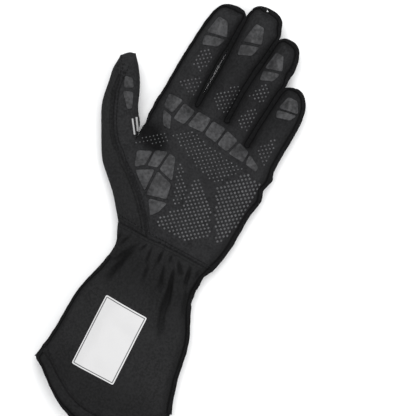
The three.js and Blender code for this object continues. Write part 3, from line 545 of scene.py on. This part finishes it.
def patches(bm, angle):
    """Groups of faces that meet at less than the angle."""
    seen, groups = set(), []
    for first in bm.faces:
        if first in seen:
            continue
        seen.add(first)
        group, waiting = [], [first]
        while waiting:
            face = waiting.pop()
            group.append(face)
            for edge in face.edges:
                if len(edge.link_faces) == 2 and edge.calc_face_angle() < angle:
                    for other in edge.link_faces:
                        if other not in seen:
                            seen.add(other)
                            waiting.append(other)
        groups.append(group)
    return groups


def open_shell(nodes, wall):
    """Merged copy of the solids as quads, joined where they touch, and its rim faces."""
    bm = bmesh.new()
    starts = []
    for node in nodes:
        starts.append(len(bm.verts))
        bm.from_mesh(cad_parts[node].data)
    bm.verts.layers.float.new("crease_vert")
    owner = bm.verts.layers.int.new("owner")
    for index, vertex in enumerate(bm.verts):
        vertex[owner] = sum(1 for start in starts if start <= index)
    bmesh.ops.remove_doubles(bm, verts=bm.verts, dist=2e-6)
    bmesh.ops.join_triangles(
        bm, faces=bm.faces, angle_face_threshold=math.radians(40),
        angle_shape_threshold=math.radians(120))
    bm.normal_update()
    rim = set()
    for group in patches(bm, math.radians(60)):
        thin = [f for f in group
                if abs(min(e.calc_length() for e in f.edges) / MM - wall) < 0.12 * wall]
        if len(thin) >= 0.5 * len(group):
            rim.update(group)
    if len(nodes) > 1:
        join_touching(bm, rim, owner)
    return bm, rim


def join_touching(bm, rim, owner):
    """Opens the rims that face each other across a narrow gap and welds the cloth there."""
    ends = list({v for face in rim for v in face.verts})
    paired = set()
    for index in {v[owner] for v in ends}:
        tree = point_tree([v.co for v in ends if v[owner] != index])
        paired.update(v for v in ends if v[owner] == index and tree.find(v.co)[2] < WELD * MM)
    closed = [face for face in rim if all(v in paired for v in face.verts)]
    rim.difference_update(closed)
    bmesh.ops.delete(bm, geom=closed, context="FACES_ONLY")
    bmesh.ops.remove_doubles(bm, verts=list(paired), dist=WELD * MM)
    rim.intersection_update([f for f in rim if f.is_valid])
    loose = [e for e in bm.edges if not e.link_faces]
    bmesh.ops.delete(bm, geom=loose, context="EDGES")
    bm.normal_update()


def on_brink(edge, rim):
    """True where the cloth's face turns into its rim."""
    return sum(face in rim for face in edge.link_faces) == 1


def rim_points(bm, rim):
    """Plan points along the rim's edges, closely spaced, each with its outward direction."""
    points = []
    for edge in bm.edges:
        if not on_brink(edge, rim) or len(edge.link_faces) != 2:
            continue
        out = level(next(f for f in edge.link_faces if f in rim).normal)
        if out.length < 0.2:
            continue
        out.normalize()
        a, b = (v.co for v in edge.verts)
        count = max(1, int((a - b).length / (0.5 * MM)))
        points += [(level(a.lerp(b, k / count)), out) for k in range(count)]
    return points


def rim_rows(bm, rim, up, pitch):
    """Evenly spaced points in order along the outer face's edges, with outward directions."""
    links, outs = {}, {}
    for edge in bm.edges:
        ends = [f for f in edge.link_faces if f in rim]
        faces = [f for f in edge.link_faces if f not in rim]
        if len(ends) != 1 or not faces or faces[0].normal.z * up < 0.05:
            continue
        out = level(ends[0].normal)
        if out.length > 0.2:
            outs[edge] = out.normalized()
            for vertex in edge.verts:
                links.setdefault(vertex, []).append(edge)
    used, row = set(), []
    for first in sorted(outs, key=lambda e: min(len(links[v]) for v in e.verts)):
        if first in used:
            continue
        vertex = min(first.verts, key=lambda v: len(links[v]))
        edge, rest = first, pitch / 2
        while edge:
            used.add(edge)
            end = edge.other_vert(vertex)
            length = (end.co - vertex.co).length
            while rest < length:
                row.append((level(vertex.co.lerp(end.co, rest / length)), outs[edge]))
                rest += pitch
            rest -= length
            vertex = end
            edge = next((e for e in links[vertex] if e not in used), None)
    return row


def lip_share(x, y):
    """How much of the sewn lip stands out at a place: none along the thumb and its web."""
    beside_thumb = smooth_step((x + 68 + 0.35 * (y - 62)) / 4) if y > 55 else 1.0
    web = smooth_step((math.hypot(x + 62, y - 62) - 3) / 5)
    return beside_thumb * web * smooth_step((math.hypot(x + 65, y - 51) - 7) / 4)


def on_top(x, y):
    """True for the thumb's upper seam, False for the one hidden at its inner edge."""
    return y < 44 or x < -74 - 0.48 * (y - 51)


def slit_share(x, y):
    """Where the narrow slit beside the index finger stays open."""
    return bell(x + 38.7, 6) * smooth_step((y - 107) / 6) * smooth_step((145 - y) / 6)


def swell_of(outer, tree, settings):
    """For each edge point: its move outwards in mm, how flat its lip is, if it meets a finger."""
    raw = []
    for point, out in outer:
        gap = 99.0
        for other, index, distance in tree.find_range(point, OUTLINE_REACH * MM):
            ahead = (other - point).dot(out)
            aside = math.sqrt(max(0.0, distance**2 - ahead**2))
            if ahead > 0.1 * MM and aside < 0.6 * MM and outer[index][1].dot(out) < -0.3:
                gap = min(gap, ahead / MM)
        x, y = plan(point)
        left = settings.finger_gap / MM + 2.7 * slit_share(x, y)
        reach = 4.2 + sum(more * bell(math.hypot(x - mx, y - my), radius)
                          for mx, my, radius, more in MEETINGS)
        touch = 1 - smooth_step((gap - reach) / 3)
        press = max(touch, smooth_step((-out.x - 0.2) / 0.4))
        closing = max(0.0, gap / 2 - left / 2) * touch if gap < OUTLINE_REACH else 0.0
        raw.append((closing, press, touch))
    even = []
    for point, out in outer:
        near = [raw[index] for _, index, _ in tree.find_range(point, 3.5 * MM)
                if outer[index][1].dot(out) > 0.5]
        move, press, touch = (sum(column) / len(near) for column in zip(*near))
        even.append((move + settings.outline_spare / MM, press, touch))
    return even


def fold_height(folds, x, y):
    """Height in mm of valleys with low crests at both sides, each fading at its ends."""
    height = 0.0
    for x0, y0, x1, y1, half, depth in folds:
        length = math.hypot(x1 - x0, y1 - y0)
        ux, uy = (x1 - x0) / length, (y1 - y0) / length
        along = ((x - x0) * ux + (y - y0) * uy) / length
        if not -0.25 < along < 1.25:
            continue
        across = ((y - y0) * ux - (x - x0) * uy) / (half * (0.75 + 0.5 * along))
        if abs(across) < 3:
            fade = math.sin(math.pi * min(1, max(0, (along + 0.2) / 1.4))) ** 1.5
            height -= depth * fade * (1 - 0.9 * across**2) * math.exp(-across**2)
    return height


def front_rise(x, y, real, seam, hollow, gathers, uneven):
    """Height in mm of the palm side's gathers, creases, hollows and unevenness."""
    free = min(1.0, real / 6.0)
    rise = free * gathers * min(1, seam / 2)
    rise += free * fold_height(CREASES, x, y) - 1.6 * min(1, hollow) * free
    rise += uneven * free * noise.noise(Vector((x, y, 7)) / 21)
    return rise + 0.5 * uneven * free * noise.noise(Vector((x, y, 3)) / 8)


def front_shade(x, y, real, touch, hollow, gathers):
    """Share of painted shade on the palm side: the strongest of its parts."""
    # Painted shade: darker towards the cuff's mouth, at the wrist and in the gathers' valleys,
    # between touching fingers, across the fingers right of the index, along the nearby outline of
    # the thumb and index, and in the hollows.
    mouth = 0.36 * smooth_step((-84 - y) / 34)
    wrist = 0.42 * bell(y + 24, 22) + min(0.5, max(0.0, -0.45 * gathers))
    between = 0.85 * touch * (1 - smooth_step((real - 0.8) / 5.5)) if y > 70 else 0.0
    fingers = 0.34 * bell(y - 122, 28) * smooth_step((x + 40) / 7)
    brink = 0.75 * bell(math.hypot(x + 60, y - 84), 20) * (1 - smooth_step((real - 1) / 3))
    return min(1.0, max(hollow, mouth, wrist, between, fingers, brink))


def lean(x, y, real, ripple):
    """Move in plan of a place: the outline's leans and its small ripple."""
    move = Vector()
    for bx, by, radius, dx, dy in BULGES:
        move += Vector((dx, dy, 0)) * bell(math.hypot(x - bx, y - by), radius) * MM
    wander = ripple * bell(real, 4) * (1 - slit_share(x, y))
    wander *= 1 + 1.6 * bell(y + 14, 14) + 1.6 * bell(math.hypot(x + 62, y - 74), 11)
    for axis, seed in ((0, 31), (1, 57)):
        move[axis] += wander * (noise.noise(Vector((x, y, seed)) / 6.5)
                                + 0.6 * noise.noise(Vector((x, y, seed)) / 2.4))
    return move


def shape_cloth(piece, side, lip, outer, seams, settings, uneven):
    """Presses in the grooves, gathers and creases, and keeps the distances and the painted shade
    for the material.
    """
    mesh = piece.data
    kept = {"edge_mm": [], "seam_mm": [], "painted_shade": []}
    edges = point_tree([point for point, _ in outer])
    swell = swell_of(outer, edges, settings)
    up = 1 if side == "front" else -1
    for vertex in mesh.vertices:
        flat = level(vertex.co)
        _, nearest, distance = edges.find(flat)
        move, press, touch = swell[nearest]
        seam = min(FAR, seams.find(flat)[2] / MM)
        x, y = plan(vertex.co)
        real = distance / MM
        edge = min(FAR, real * (1 + settings.lip_press * press))
        lipped = lip_share(x, y) if lip else 0.0
        painted_shade, rise = 0.0, -0.25 * bell(seam, 1.3) - 0.12 * bell(seam - SEAM_ROW, 0.7)
        if side == "front":
            gathers = fold_height(GATHERS, x, y) * settings.gather_scale
            hollow = sum(depth * bell(math.hypot(x - hx, y - hy), radius)
                         for hx, hy, radius, depth in HOLLOWS)
            groove = settings.groove_depth / MM * lipped * bell(edge - lip - 0.5, 1.1)
            rise -= groove * min(1, seam / 3)
            rise += front_rise(x, y, real, seam, hollow, gathers, uneven)
            # Painted shade of the palm side, kept per vertex for the material.
            painted_shade = front_shade(x, y, real, touch, hollow, gathers)
        vertex.co.z = max(vertex.co.z + rise * up * MM, min(vertex.co.z, 0.0))
        if real < OUTLINE_REACH:
            follow = 1 - smooth_step(real / OUTLINE_REACH)
            vertex.co += outer[nearest][1] * move * follow * MM
        vertex.co += lean(x, y, real, settings.ripple)
        kept["edge_mm"].append(edge + (FAR - edge) * (1 - lipped))
        kept["seam_mm"].append(seam)
        kept["painted_shade"].append(painted_shade)
    for name, values in kept.items():
        mesh.attributes.new(name, "FLOAT", "POINT").data.foreach_set("value", values)
    return edges, swell


def smooth_panel(name, up, shell, joined, finishes):
    """Piece of smoothed cloth from a shell, which overlaps its neighbours at the seams."""
    bm, rim = shell
    moves = {}
    for face in rim:
        for vertex in face.verts:
            if joined.find(level(vertex.co))[2] < 0.1 * MM:
                moves[vertex] = moves.get(vertex, Vector()) + face.normal
    crease = bm.edges.layers.float.new("crease_edge")
    corner = bm.verts.layers.float["crease_vert"]
    seam_ends = set()
    for vertex in bm.verts:
        beside = [edge.other_vert(vertex) for edge in vertex.link_edges if on_brink(edge, rim)]
        if len(beside) != 2:
            continue
        turn = (beside[0].co - vertex.co).angle(beside[1].co - vertex.co, math.pi)
        if vertex in moves and not all(v in moves for v in beside):
            seam_ends.add(vertex)
        if vertex in seam_ends or turn < math.radians(125):
            vertex[corner] = 1.0
    for edge in bm.edges:
        if on_brink(edge, rim):
            edge[crease] = 0.95 if all(v in moves for v in edge.verts) else 0.2
    for vertex, out in moves.items():
        vertex.co += out.normalized() * (0.85 if vertex in seam_ends else 0.14) * MM
    for face in bm.faces:
        face.smooth = True
        face.material_index = 1 if face not in rim and face.normal.z * up < 0 else 0
    mesh = bpy.data.meshes.new(name)
    bm.to_mesh(mesh)
    bm.free()
    for finish in finishes:
        mesh.materials.append(finish)
    piece = add_piece(name, mesh)
    smooth = piece.modifiers.new("Smooth cloth", "SUBSURF")
    smooth.levels = smooth.render_levels = 2
    apply_all(piece)
    return piece


class GLOVE_OT_cloth(bpy.types.Operator):
    """Builds the cloth panels from the glove's solids"""
    bl_idname = "glove.cloth"
    bl_label = "Cloth panels"

    def execute(self, context):
        settings = context.scene.glove_cloth
        suede, knit, lining = (Vector(colour) for colour in (
            settings.suede_colour, settings.knit_colour, settings.lining_colour))
        inner = cloth_material("lining", "Fine knit", lining * 0.8, lining * 1.3)
        finishes = {
            name: cloth_material(name, weave, colour * 0.55, colour * 1.5, lip)
            for name, weave, colour, lip in (
                ("suede", "Suede nap", suede, HAND_LIP), ("knit", "Fine knit", knit, HAND_LIP),
                ("cuff knit", "Fine knit", knit, CUFF_LIP))}
        shells = {name: open_shell(nodes, wall) for name, nodes, *_, wall, _ in CLOTH_PIECES}
        outlines = {name: rim_points(*shell) for name, shell in shells.items()}
        for name, nodes, side, kind, slot, _, lip in CLOTH_PIECES:
            up = 1 if side == "front" else -1
            beside = [other[0] for other in CLOTH_PIECES if other[2] == side and other[0] != name]
            nearby = point_tree([p for other in beside for p, _ in outlines[other]])
            joined = [p for p, _ in outlines[name] if nearby.find(p)[2] < SEWN * MM]
            outer = [pair for pair in outlines[name] if nearby.find(pair[0])[2] >= SEWN * MM]
            seams = point_tree([p for p in joined if plan(p)[1] < 88 and on_top(*plan(p))])
            row = rim_rows(*shells[name], up, ROW_PITCH * MM)
            piece = smooth_panel(name, up, shells[name], point_tree(joined),
                                 (finishes[kind], inner))
            edges, swell = shape_cloth(piece, side, lip, outer, seams, settings,
                                       0.55 if "cuff" in name else 0.35)
            LIP_ROWS[name] = []
            for point, out in row:
                sewn = nearby.find(point)[2] < SEWN * MM
                move, press, _ = swell[edges.find(point)[1]]
                if sewn or press < 0.5:
                    shift = Vector() if sewn else out * move * MM
                    LIP_ROWS[name].append((*plan(point + shift), out, sewn))
            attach(piece, "root")
            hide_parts(*nodes)
        return {"FINISHED"}


# Grip

def settle_plate(piece, corners, radius, tree, stops=None):
    """Lays a flat grid between four plan corners, rounds its corners and sets it on the cloth."""
    a, b, c, d = (Vector(corner) for corner in corners)
    wide = ((b - a).length + (c - d).length) / 2
    tall = ((d - a).length + (c - b).length) / 2
    found, missing = [], []
    for vertex in piece.data.vertices:
        p, q = (vertex.co.x + 0.5) * wide, (0.5 - vertex.co.y) * tall
        if stops:
            p = stops[0][round((vertex.co.x + 0.5) * (len(stops[0]) - 1))]
            q = stops[1][round((0.5 - vertex.co.y) * (len(stops[1]) - 1))]
        px, qx = min(p, wide - p), min(q, tall - q)
        if px < radius and qx < radius:
            in_x, in_y = radius - px, radius - qx
            share = max(in_x, in_y) / math.hypot(in_x, in_y) if in_x or in_y else 1
            px, qx = radius - in_x * share, radius - in_y * share
            p = px if p < wide / 2 else wide - px
            q = qx if q < tall / 2 else tall - qx
        u, v = p / wide, q / tall
        point = a.lerp(b, u).lerp(d.lerp(c, u), v)
        landed = land(tree, point.x, point.y)
        vertex.co = spot(point.x, point.y)
        vertex.co.z += landed[0].z - SINK * MM if landed else 0.0
        (found if landed else missing).append(vertex)
    for vertex in missing:
        vertex.co.z = min(found, key=lambda v: (v.co.xy - vertex.co.xy).length).co.z


def even_heights(mesh, rounds):
    """Evens out the heights of neighbouring vertices, so a plate bridges small dips."""
    near = [[] for _ in mesh.vertices]
    for edge in mesh.edges:
        i, j = edge.vertices
        near[i].append(j)
        near[j].append(i)
    for _ in range(rounds):
        heights = [v.co.z for v in mesh.vertices]
        for index, vertex in enumerate(mesh.vertices):
            mean = sum(heights[j] for j in near[index]) / len(near[index])
            vertex.co.z = (heights[index] + mean) / 2


def add_plate(name, corners, tree, thickness, radius, materials, bevel=0.18, spacing=0.8,
              stops=None, paint=None):
    """A thin pad on the cloth, from a grid, with a thickness and rounded edges."""
    size = max((Vector(p) - Vector(q)).length for p in corners for q in corners)
    wide = tall = max(4, int(size / 1.4 / spacing))
    if stops:
        wide, tall = len(stops[0]) - 1, len(stops[1]) - 1
    bpy.ops.object.select_all(action="DESELECT")
    bpy.ops.mesh.primitive_grid_add(x_subdivisions=wide, y_subdivisions=tall, size=1)
    piece = bpy.context.object
    piece.name = piece.data.name = name
    if paint:
        for face in piece.data.polygons:
            column, row = int((face.center.x + 0.5) * wide), int((0.5 - face.center.y) * tall)
            face.material_index = paint(min(column, wide - 1 - column), min(row, tall - 1 - row))
    settle_plate(piece, corners, radius, tree, stops)
    even_heights(piece.data, 3)
    wall = piece.modifiers.new("Thickness", "SOLIDIFY")
    wall.thickness = thickness + SINK * MM
    wall.offset = 1
    edge = piece.modifiers.new("Soft edge", "BEVEL")
    edge.width = bevel * MM
    edge.segments = 2
    edge.limit_method = "ANGLE"
    edge.angle_limit = math.radians(50)
    apply_all(piece)
    bpy.ops.object.shade_smooth_by_angle(angle=math.radians(50))
    for material in materials:
        piece.data.materials.append(material)
    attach(piece, "root")
    return piece


def outline_corners(node):
    """Four plan corners of a plate's solid, from the far left one clockwise."""
    points = [plan(v.co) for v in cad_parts[node].data.vertices]
    turn = math.radians(32 if "thumb" in node else 0)
    found = []
    for dx, dy in ((-1, 1), (1, 1), (1, -1), (-1, -1)):
        ux = dx * math.cos(turn) - dy * math.sin(turn)
        uy = dx * math.sin(turn) + dy * math.cos(turn)
        found.append(max(points, key=lambda p: p[0] * ux + p[1] * uy))
    return found


def fingertip_corners(shrink):
    """Plan corners of the fingertips' and thumb's plates, from their nodes, drawn in a little."""
    tips = {}
    for finger in ("index", "middle", "ring", "little", "thumb"):
        pair = {f"grip_{finger}_{end}": outline_corners(f"grip_{finger}_{end}")
                for end in ("top", "low")}
        points = [p for corners in pair.values() for p in corners]
        cx, cy = (sum(p[k] for p in points) / len(points) for k in (0, 1))
        for node, corners in pair.items():
            tips[node] = [(cx + (x - cx) * shrink, cy + (y - cy) * shrink) for x, y in corners]
    return tips


class GLOVE_OT_plates(bpy.types.Operator):
    """Sets the silicone grip plates on the palm, fingertips and thumb"""
    bl_idname = "glove.plates"
    bl_label = "Grip plates"

    def execute(self, context):
        settings = context.scene.glove_grip
        tree = drop_rays("palm_cloth", "thumb_outer_cloth")
        material = grip_material("plate silicone", settings.plate_dark, settings.plate_light, 0.5)
        plates = {f"{group}_{index}": [(x * KNUCKLE_WIDTH, y * PALM_LENGTH) for x, y in corners]
                  for group, rows in PALM_PLATES.items() for index, corners in enumerate(rows, 1)}
        plates.update(fingertip_corners(settings.tip_shrink))
        for node, corners in plates.items():
            piece = add_plate(node.replace("grip", "plate"), corners, tree,
                              settings.plate_thickness, settings.corner_radius / MM, [material])
            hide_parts(node)
        return {"FINISHED"}


def copy_shapes(name, shape, places, material):
    """One mesh of many copies of a small shape, one at each place."""
    corners, faces = [], []
    base = [v.co.copy() for v in shape.data.vertices]
    loops = [tuple(p.vertices) for p in shape.data.polygons]
    for place in places:
        start = len(corners)
        corners.extend(place @ co for co in base)
        faces.extend(tuple(start + i for i in loop) for loop in loops)
    bpy.data.objects.remove(shape)
    mesh = bpy.data.meshes.new(name)
    mesh.from_pydata(corners, [], faces)
    mesh.polygons.foreach_set("use_smooth", [True] * len(faces))
    mesh.materials.append(material)
    piece = add_piece(name, mesh)
    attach(piece, "root")
    return piece


def add_ball(segments, radius, scale, cut=None):
    """A ball, without what lies below the cut, stretched by the scale."""
    bpy.ops.object.select_all(action="DESELECT")
    bpy.ops.mesh.primitive_uv_sphere_add(segments=segments, ring_count=6, radius=radius)
    bpy.ops.object.mode_set(mode="EDIT")
    bpy.ops.mesh.select_all(action="SELECT")
    if cut is not None:
        bpy.ops.mesh.bisect(plane_co=(0, 0, cut), plane_no=(0, 0, 1), clear_inner=True)
        bpy.ops.mesh.select_all(action="SELECT")
    bpy.ops.transform.resize(value=scale, center_override=(0, 0, 0))
    bpy.ops.object.mode_set(mode="OBJECT")
    return bpy.context.object


def upright(point, normal, direction=Vector((1, 0, 0))):
    """Placement with its height along the normal and its length along the direction."""
    side = direction.cross(normal).normalized()
    along = side.cross(normal).normalized()
    return Matrix.Translation(point) @ Matrix((along, side, normal)).transposed().to_4x4()


class GLOVE_OT_dots(bpy.types.Operator):
    """Prints the silicone dots on the palm and fingers"""
    bl_idname = "glove.dots"
    bl_label = "Grip dots"

    def execute(self, context):
        settings = context.scene.glove_grip
        tree = drop_rays("palm_cloth")
        across, down = settings.dot_pitch / MM * 0.77, settings.dot_pitch / MM * 0.64
        places = []
        for i in range(-60, 60):
            for j in range(-20, 160):
                if (i + j) % 2:
                    continue
                x, y = i * across, j * down
                sizes = [size for size, field in DOT_FIELDS if inside(field, x, y)]
                landed = land(tree, x, y) if sizes else None
                if landed and landed[1].z > 0.5:
                    places.append(upright(*landed) @ Matrix.Scale(sizes[0], 4))
        wide = settings.dot_diameter
        dome = add_ball(10, wide / 2, (1, 1, 2 * (wide * 0.22) / wide), -wide * 0.1)
        light = Vector(settings.plate_light)
        material = grip_material("dot silicone", light * 0.9, light * 1.65, 0.4)
        piece = copy_shapes("grip_dots", dome, places, material)
        return {"FINISHED"}


# Trim

def even_stops(length, border=(0.3, 0.6, 0.9, 1.6)):
    """Positions across a patch: its border, its thin line and an even grid between."""
    inner = int((length - 2 * border[-1]) / 1.2)
    step = (length - 2 * border[-1]) / inner
    middle = [border[-1] + step * k for k in range(1, inner)]
    return [0.0, *border, *middle, *(length - b for b in reversed(border)), length]


def label_paint(column, row):
    """Material number of a label face, from its rings in from the edge: border, line or middle."""
    ring = min(column, row)
    return 1 if ring < 3 else 2 if ring == 3 else 0


class GLOVE_OT_label(bpy.types.Operator):
    """Sews the blank white label on the cuff"""
    bl_idname = "glove.label"
    bl_label = "Label"

    def execute(self, context):
        settings = context.scene.glove_trim
        tree = drop_rays("cuff_front_cloth")
        white, grey = Vector(settings.patch_colour), Vector(settings.line_colour)
        materials = [patch_material("white patch", white * 0.93, white),
                     patch_material("white border", white * 0.98, white * 1.06),
                     patch_material("label line", grey * 0.9, grey)]
        a, b, c, d = (Vector(corner) for corner in LABEL_CORNERS)
        stops = (even_stops(((b - a).length + (c - d).length) / 2),
                 even_stops(((d - a).length + (c - b).length) / 2))
        piece = add_plate("label_patch", LABEL_CORNERS, tree, 0.5 * MM, 1.3, materials, 0.15,
                          stops=stops, paint=label_paint)
        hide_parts("label")
        return {"FINISHED"}


class GLOVE_OT_stripes(bpy.types.Operator):
    """Sets the two white stripes on the thumb's inner edge"""
    bl_idname = "glove.stripes"
    bl_label = "Thumb stripes"

    def execute(self, context):
        tree = drop_rays("palm_cloth", "thumb_outer_cloth")
        colour = Vector(context.scene.glove_trim.patch_colour)
        white = patch_material("white stripe", colour * 0.56, colour * 0.7)
        for node, corners in STRIPE_CORNERS.items():
            piece = add_plate(node + "_band", corners, tree, 0.5 * MM, 0.25, [white], 0.1, 0.5)
            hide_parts(node)
        return {"FINISHED"}


class GLOVE_OT_stitches(bpy.types.Operator):
    """Sews the stitch rows of the thumb seam, wrist, seam lips and hem"""
    bl_idname = "glove.stitches"
    bl_label = "Stitching"

    def execute(self, context):
        settings = context.scene.glove_trim
        tree = drop_rays("palm_cloth", "thumb_outer_cloth", "cuff_front_cloth", "hem_front_cloth")
        colour = Vector(settings.thread_colour)
        thread = thread_material("black thread", colour * 0.6, colour * 1.6)
        white = thread_material("white thread", (0.5, 0.5, 0.5), (0.8, 0.8, 0.8))
        step = max(1, round(settings.stitch_pitch / MM / ROW_PITCH))
        rows = {"thumb_seam_stitches": [], "wrist_stitches": [], "lip_stitches": [],
                "hem_stitches": []}
        for name in ("palm_cloth", "thumb_outer_cloth", "cuff_front_cloth"):
            for x, y, out, sewn in LIP_ROWS[name][::step]:
                if sewn and not on_top(x, y):
                    continue
                if sewn and name == "palm_cloth" and 3 < y < 104:
                    row, insets = "thumb_seam_stitches", (1.9, -1.9)
                elif sewn and y < 3 and name != "cuff_front_cloth":
                    row, insets = "wrist_stitches", (2.2,)
                elif sewn and y < -80:
                    row, insets = "hem_stitches", (1.0,)
                elif not sewn and lip_share(x, y) > 0.5:
                    row, insets = "lip_stitches", (2.0,)
                else:
                    continue
                rows[row] += [(x - out.x * inset, y - out.y * inset, Vector((-out.y, out.x, 0)))
                              for inset in insets]
        for name, row in rows.items():
            self.sew(name, row, tree, thread, settings.stitch_pitch * 0.72,
                     settings.thread_diameter)
        tip = [(-29.0, 181.4, Vector((1, 0.4, 0))), (-28.6, 181.9, Vector((0.3, 1, 0))),
               (-29.3, 182.0, Vector((-0.6, 1, 0)))]
        self.sew("fingertip_knot", tip, tree, white, 0.0013, 0.0006)
        return {"FINISHED"}

    def sew(self, name, row, tree, material, length, thickness):
        places = []
        for x, y, along in row:
            landed = land(tree, x, y)
            if landed and landed[1].z > 0.1:
                places.append(upright(*landed, along))
        if not places:
            raise RuntimeError("no cloth under " + name)
        stitch = add_ball(6, 0.5, (length, thickness, thickness))
        copy_shapes(name, stitch, places, material)


# Stage

class GLOVE_OT_stage(bpy.types.Operator):
    """Sets the floor, the lights and the camera"""
    bl_idname = "glove.stage"
    bl_label = "Stage"

    def execute(self, context):
        settings = context.scene.glove_stage
        scene = context.scene
        bpy.ops.object.select_all(action="DESELECT")
        bpy.ops.mesh.primitive_plane_add(size=8, location=(0, 0, -0.0003))
        floor = context.object
        floor.name = "floor"
        material, tree, inputs, where = start_material("pale floor")
        colour = Vector(settings.floor_colour)
        tone = ramp_node(tree, noise_node(tree, where, 3.0), 0.3, 0.7)
        feed(tree, inputs["Base Color"], mix_node(tree, tone, colour * 0.99, colour))
        inputs["Roughness"].default_value = 0.9
        inputs["Specular IOR Level"].default_value = 0.1
        floor.data.materials.append(material)

        world = bpy.data.worlds.new("pale studio")
        world.use_nodes = True
        sky = world.node_tree.nodes["Background"].inputs
        sky["Color"].default_value = (0.95, 0.97, 1, 1)
        sky["Strength"].default_value = 0.325
        scene.world = world
        self.add_light("top_light", (-0.35, 0.45, 1.6), 1.6, settings.light_power)
        self.add_light("side_light", (0.9, -0.2, 0.9), 0.8, settings.light_power * 0.22)

        camera = bpy.data.cameras.new("camera")
        camera.lens = 150
        camera.sensor_width = 36
        holder = bpy.data.objects.new("camera", camera)
        scene.collection.objects.link(holder)
        holder.location = spot(3.2, 38.2, 10) + Vector((0, 0, settings.camera_height))
        holder.rotation_euler = (0, 0, math.radians(29.5))
        scene.camera = holder
        scene.view_settings.view_transform = "Standard"
        return {"FINISHED"}

    def add_light(self, name, place, size, power):
        lamp = bpy.data.lights.new(name, "AREA")
        lamp.shape = "SQUARE"
        lamp.size = size
        lamp.energy = power
        holder = bpy.data.objects.new(name, lamp)
        bpy.context.scene.collection.objects.link(holder)
        holder.location = place
        holder.rotation_euler = (-Vector(place)).to_track_quat("-Z", "Y").to_euler()


class GLOVE_PT_panel(bpy.types.Panel):
    bl_label = "Karting Glove"
    bl_idname = "GLOVE_PT_panel"
    bl_space_type = "VIEW_3D"
    bl_region_type = "UI"
    bl_category = "Karting Glove"

    def draw(self, context):
        for operator in STEPS:
            self.layout.operator(operator.bl_idname)
        for name, group in GROUPS:
            for setting in group.__annotations__:
                self.layout.prop(getattr(context.scene, name), setting)


STEPS = (GLOVE_OT_cloth, GLOVE_OT_plates, GLOVE_OT_dots, GLOVE_OT_label, GLOVE_OT_stripes,
         GLOVE_OT_stitches, GLOVE_OT_stage)
GROUPS = (("glove_cloth", ClothSettings), ("glove_grip", GripSettings),
          ("glove_trim", TrimSettings), ("glove_stage", StageSettings))


def register():
    for name, group in GROUPS:
        bpy.utils.register_class(group)
        setattr(bpy.types.Scene, name, PointerProperty(type=group))
    for operator in STEPS:
        bpy.utils.register_class(operator)
    bpy.utils.register_class(GLOVE_PT_panel)


def unregister():
    bpy.utils.unregister_class(GLOVE_PT_panel)
    for operator in reversed(STEPS):
        bpy.utils.unregister_class(operator)
    for name, group in reversed(GROUPS):
        delattr(bpy.types.Scene, name)
        bpy.utils.unregister_class(group)


def main():
    register()
    bpy.ops.glove.cloth()
    bpy.ops.glove.plates()
    bpy.ops.glove.dots()
    bpy.ops.glove.label()
    bpy.ops.glove.stripes()
    bpy.ops.glove.stitches()
    bpy.ops.glove.stage()


if __name__ == "__main__":
    main()
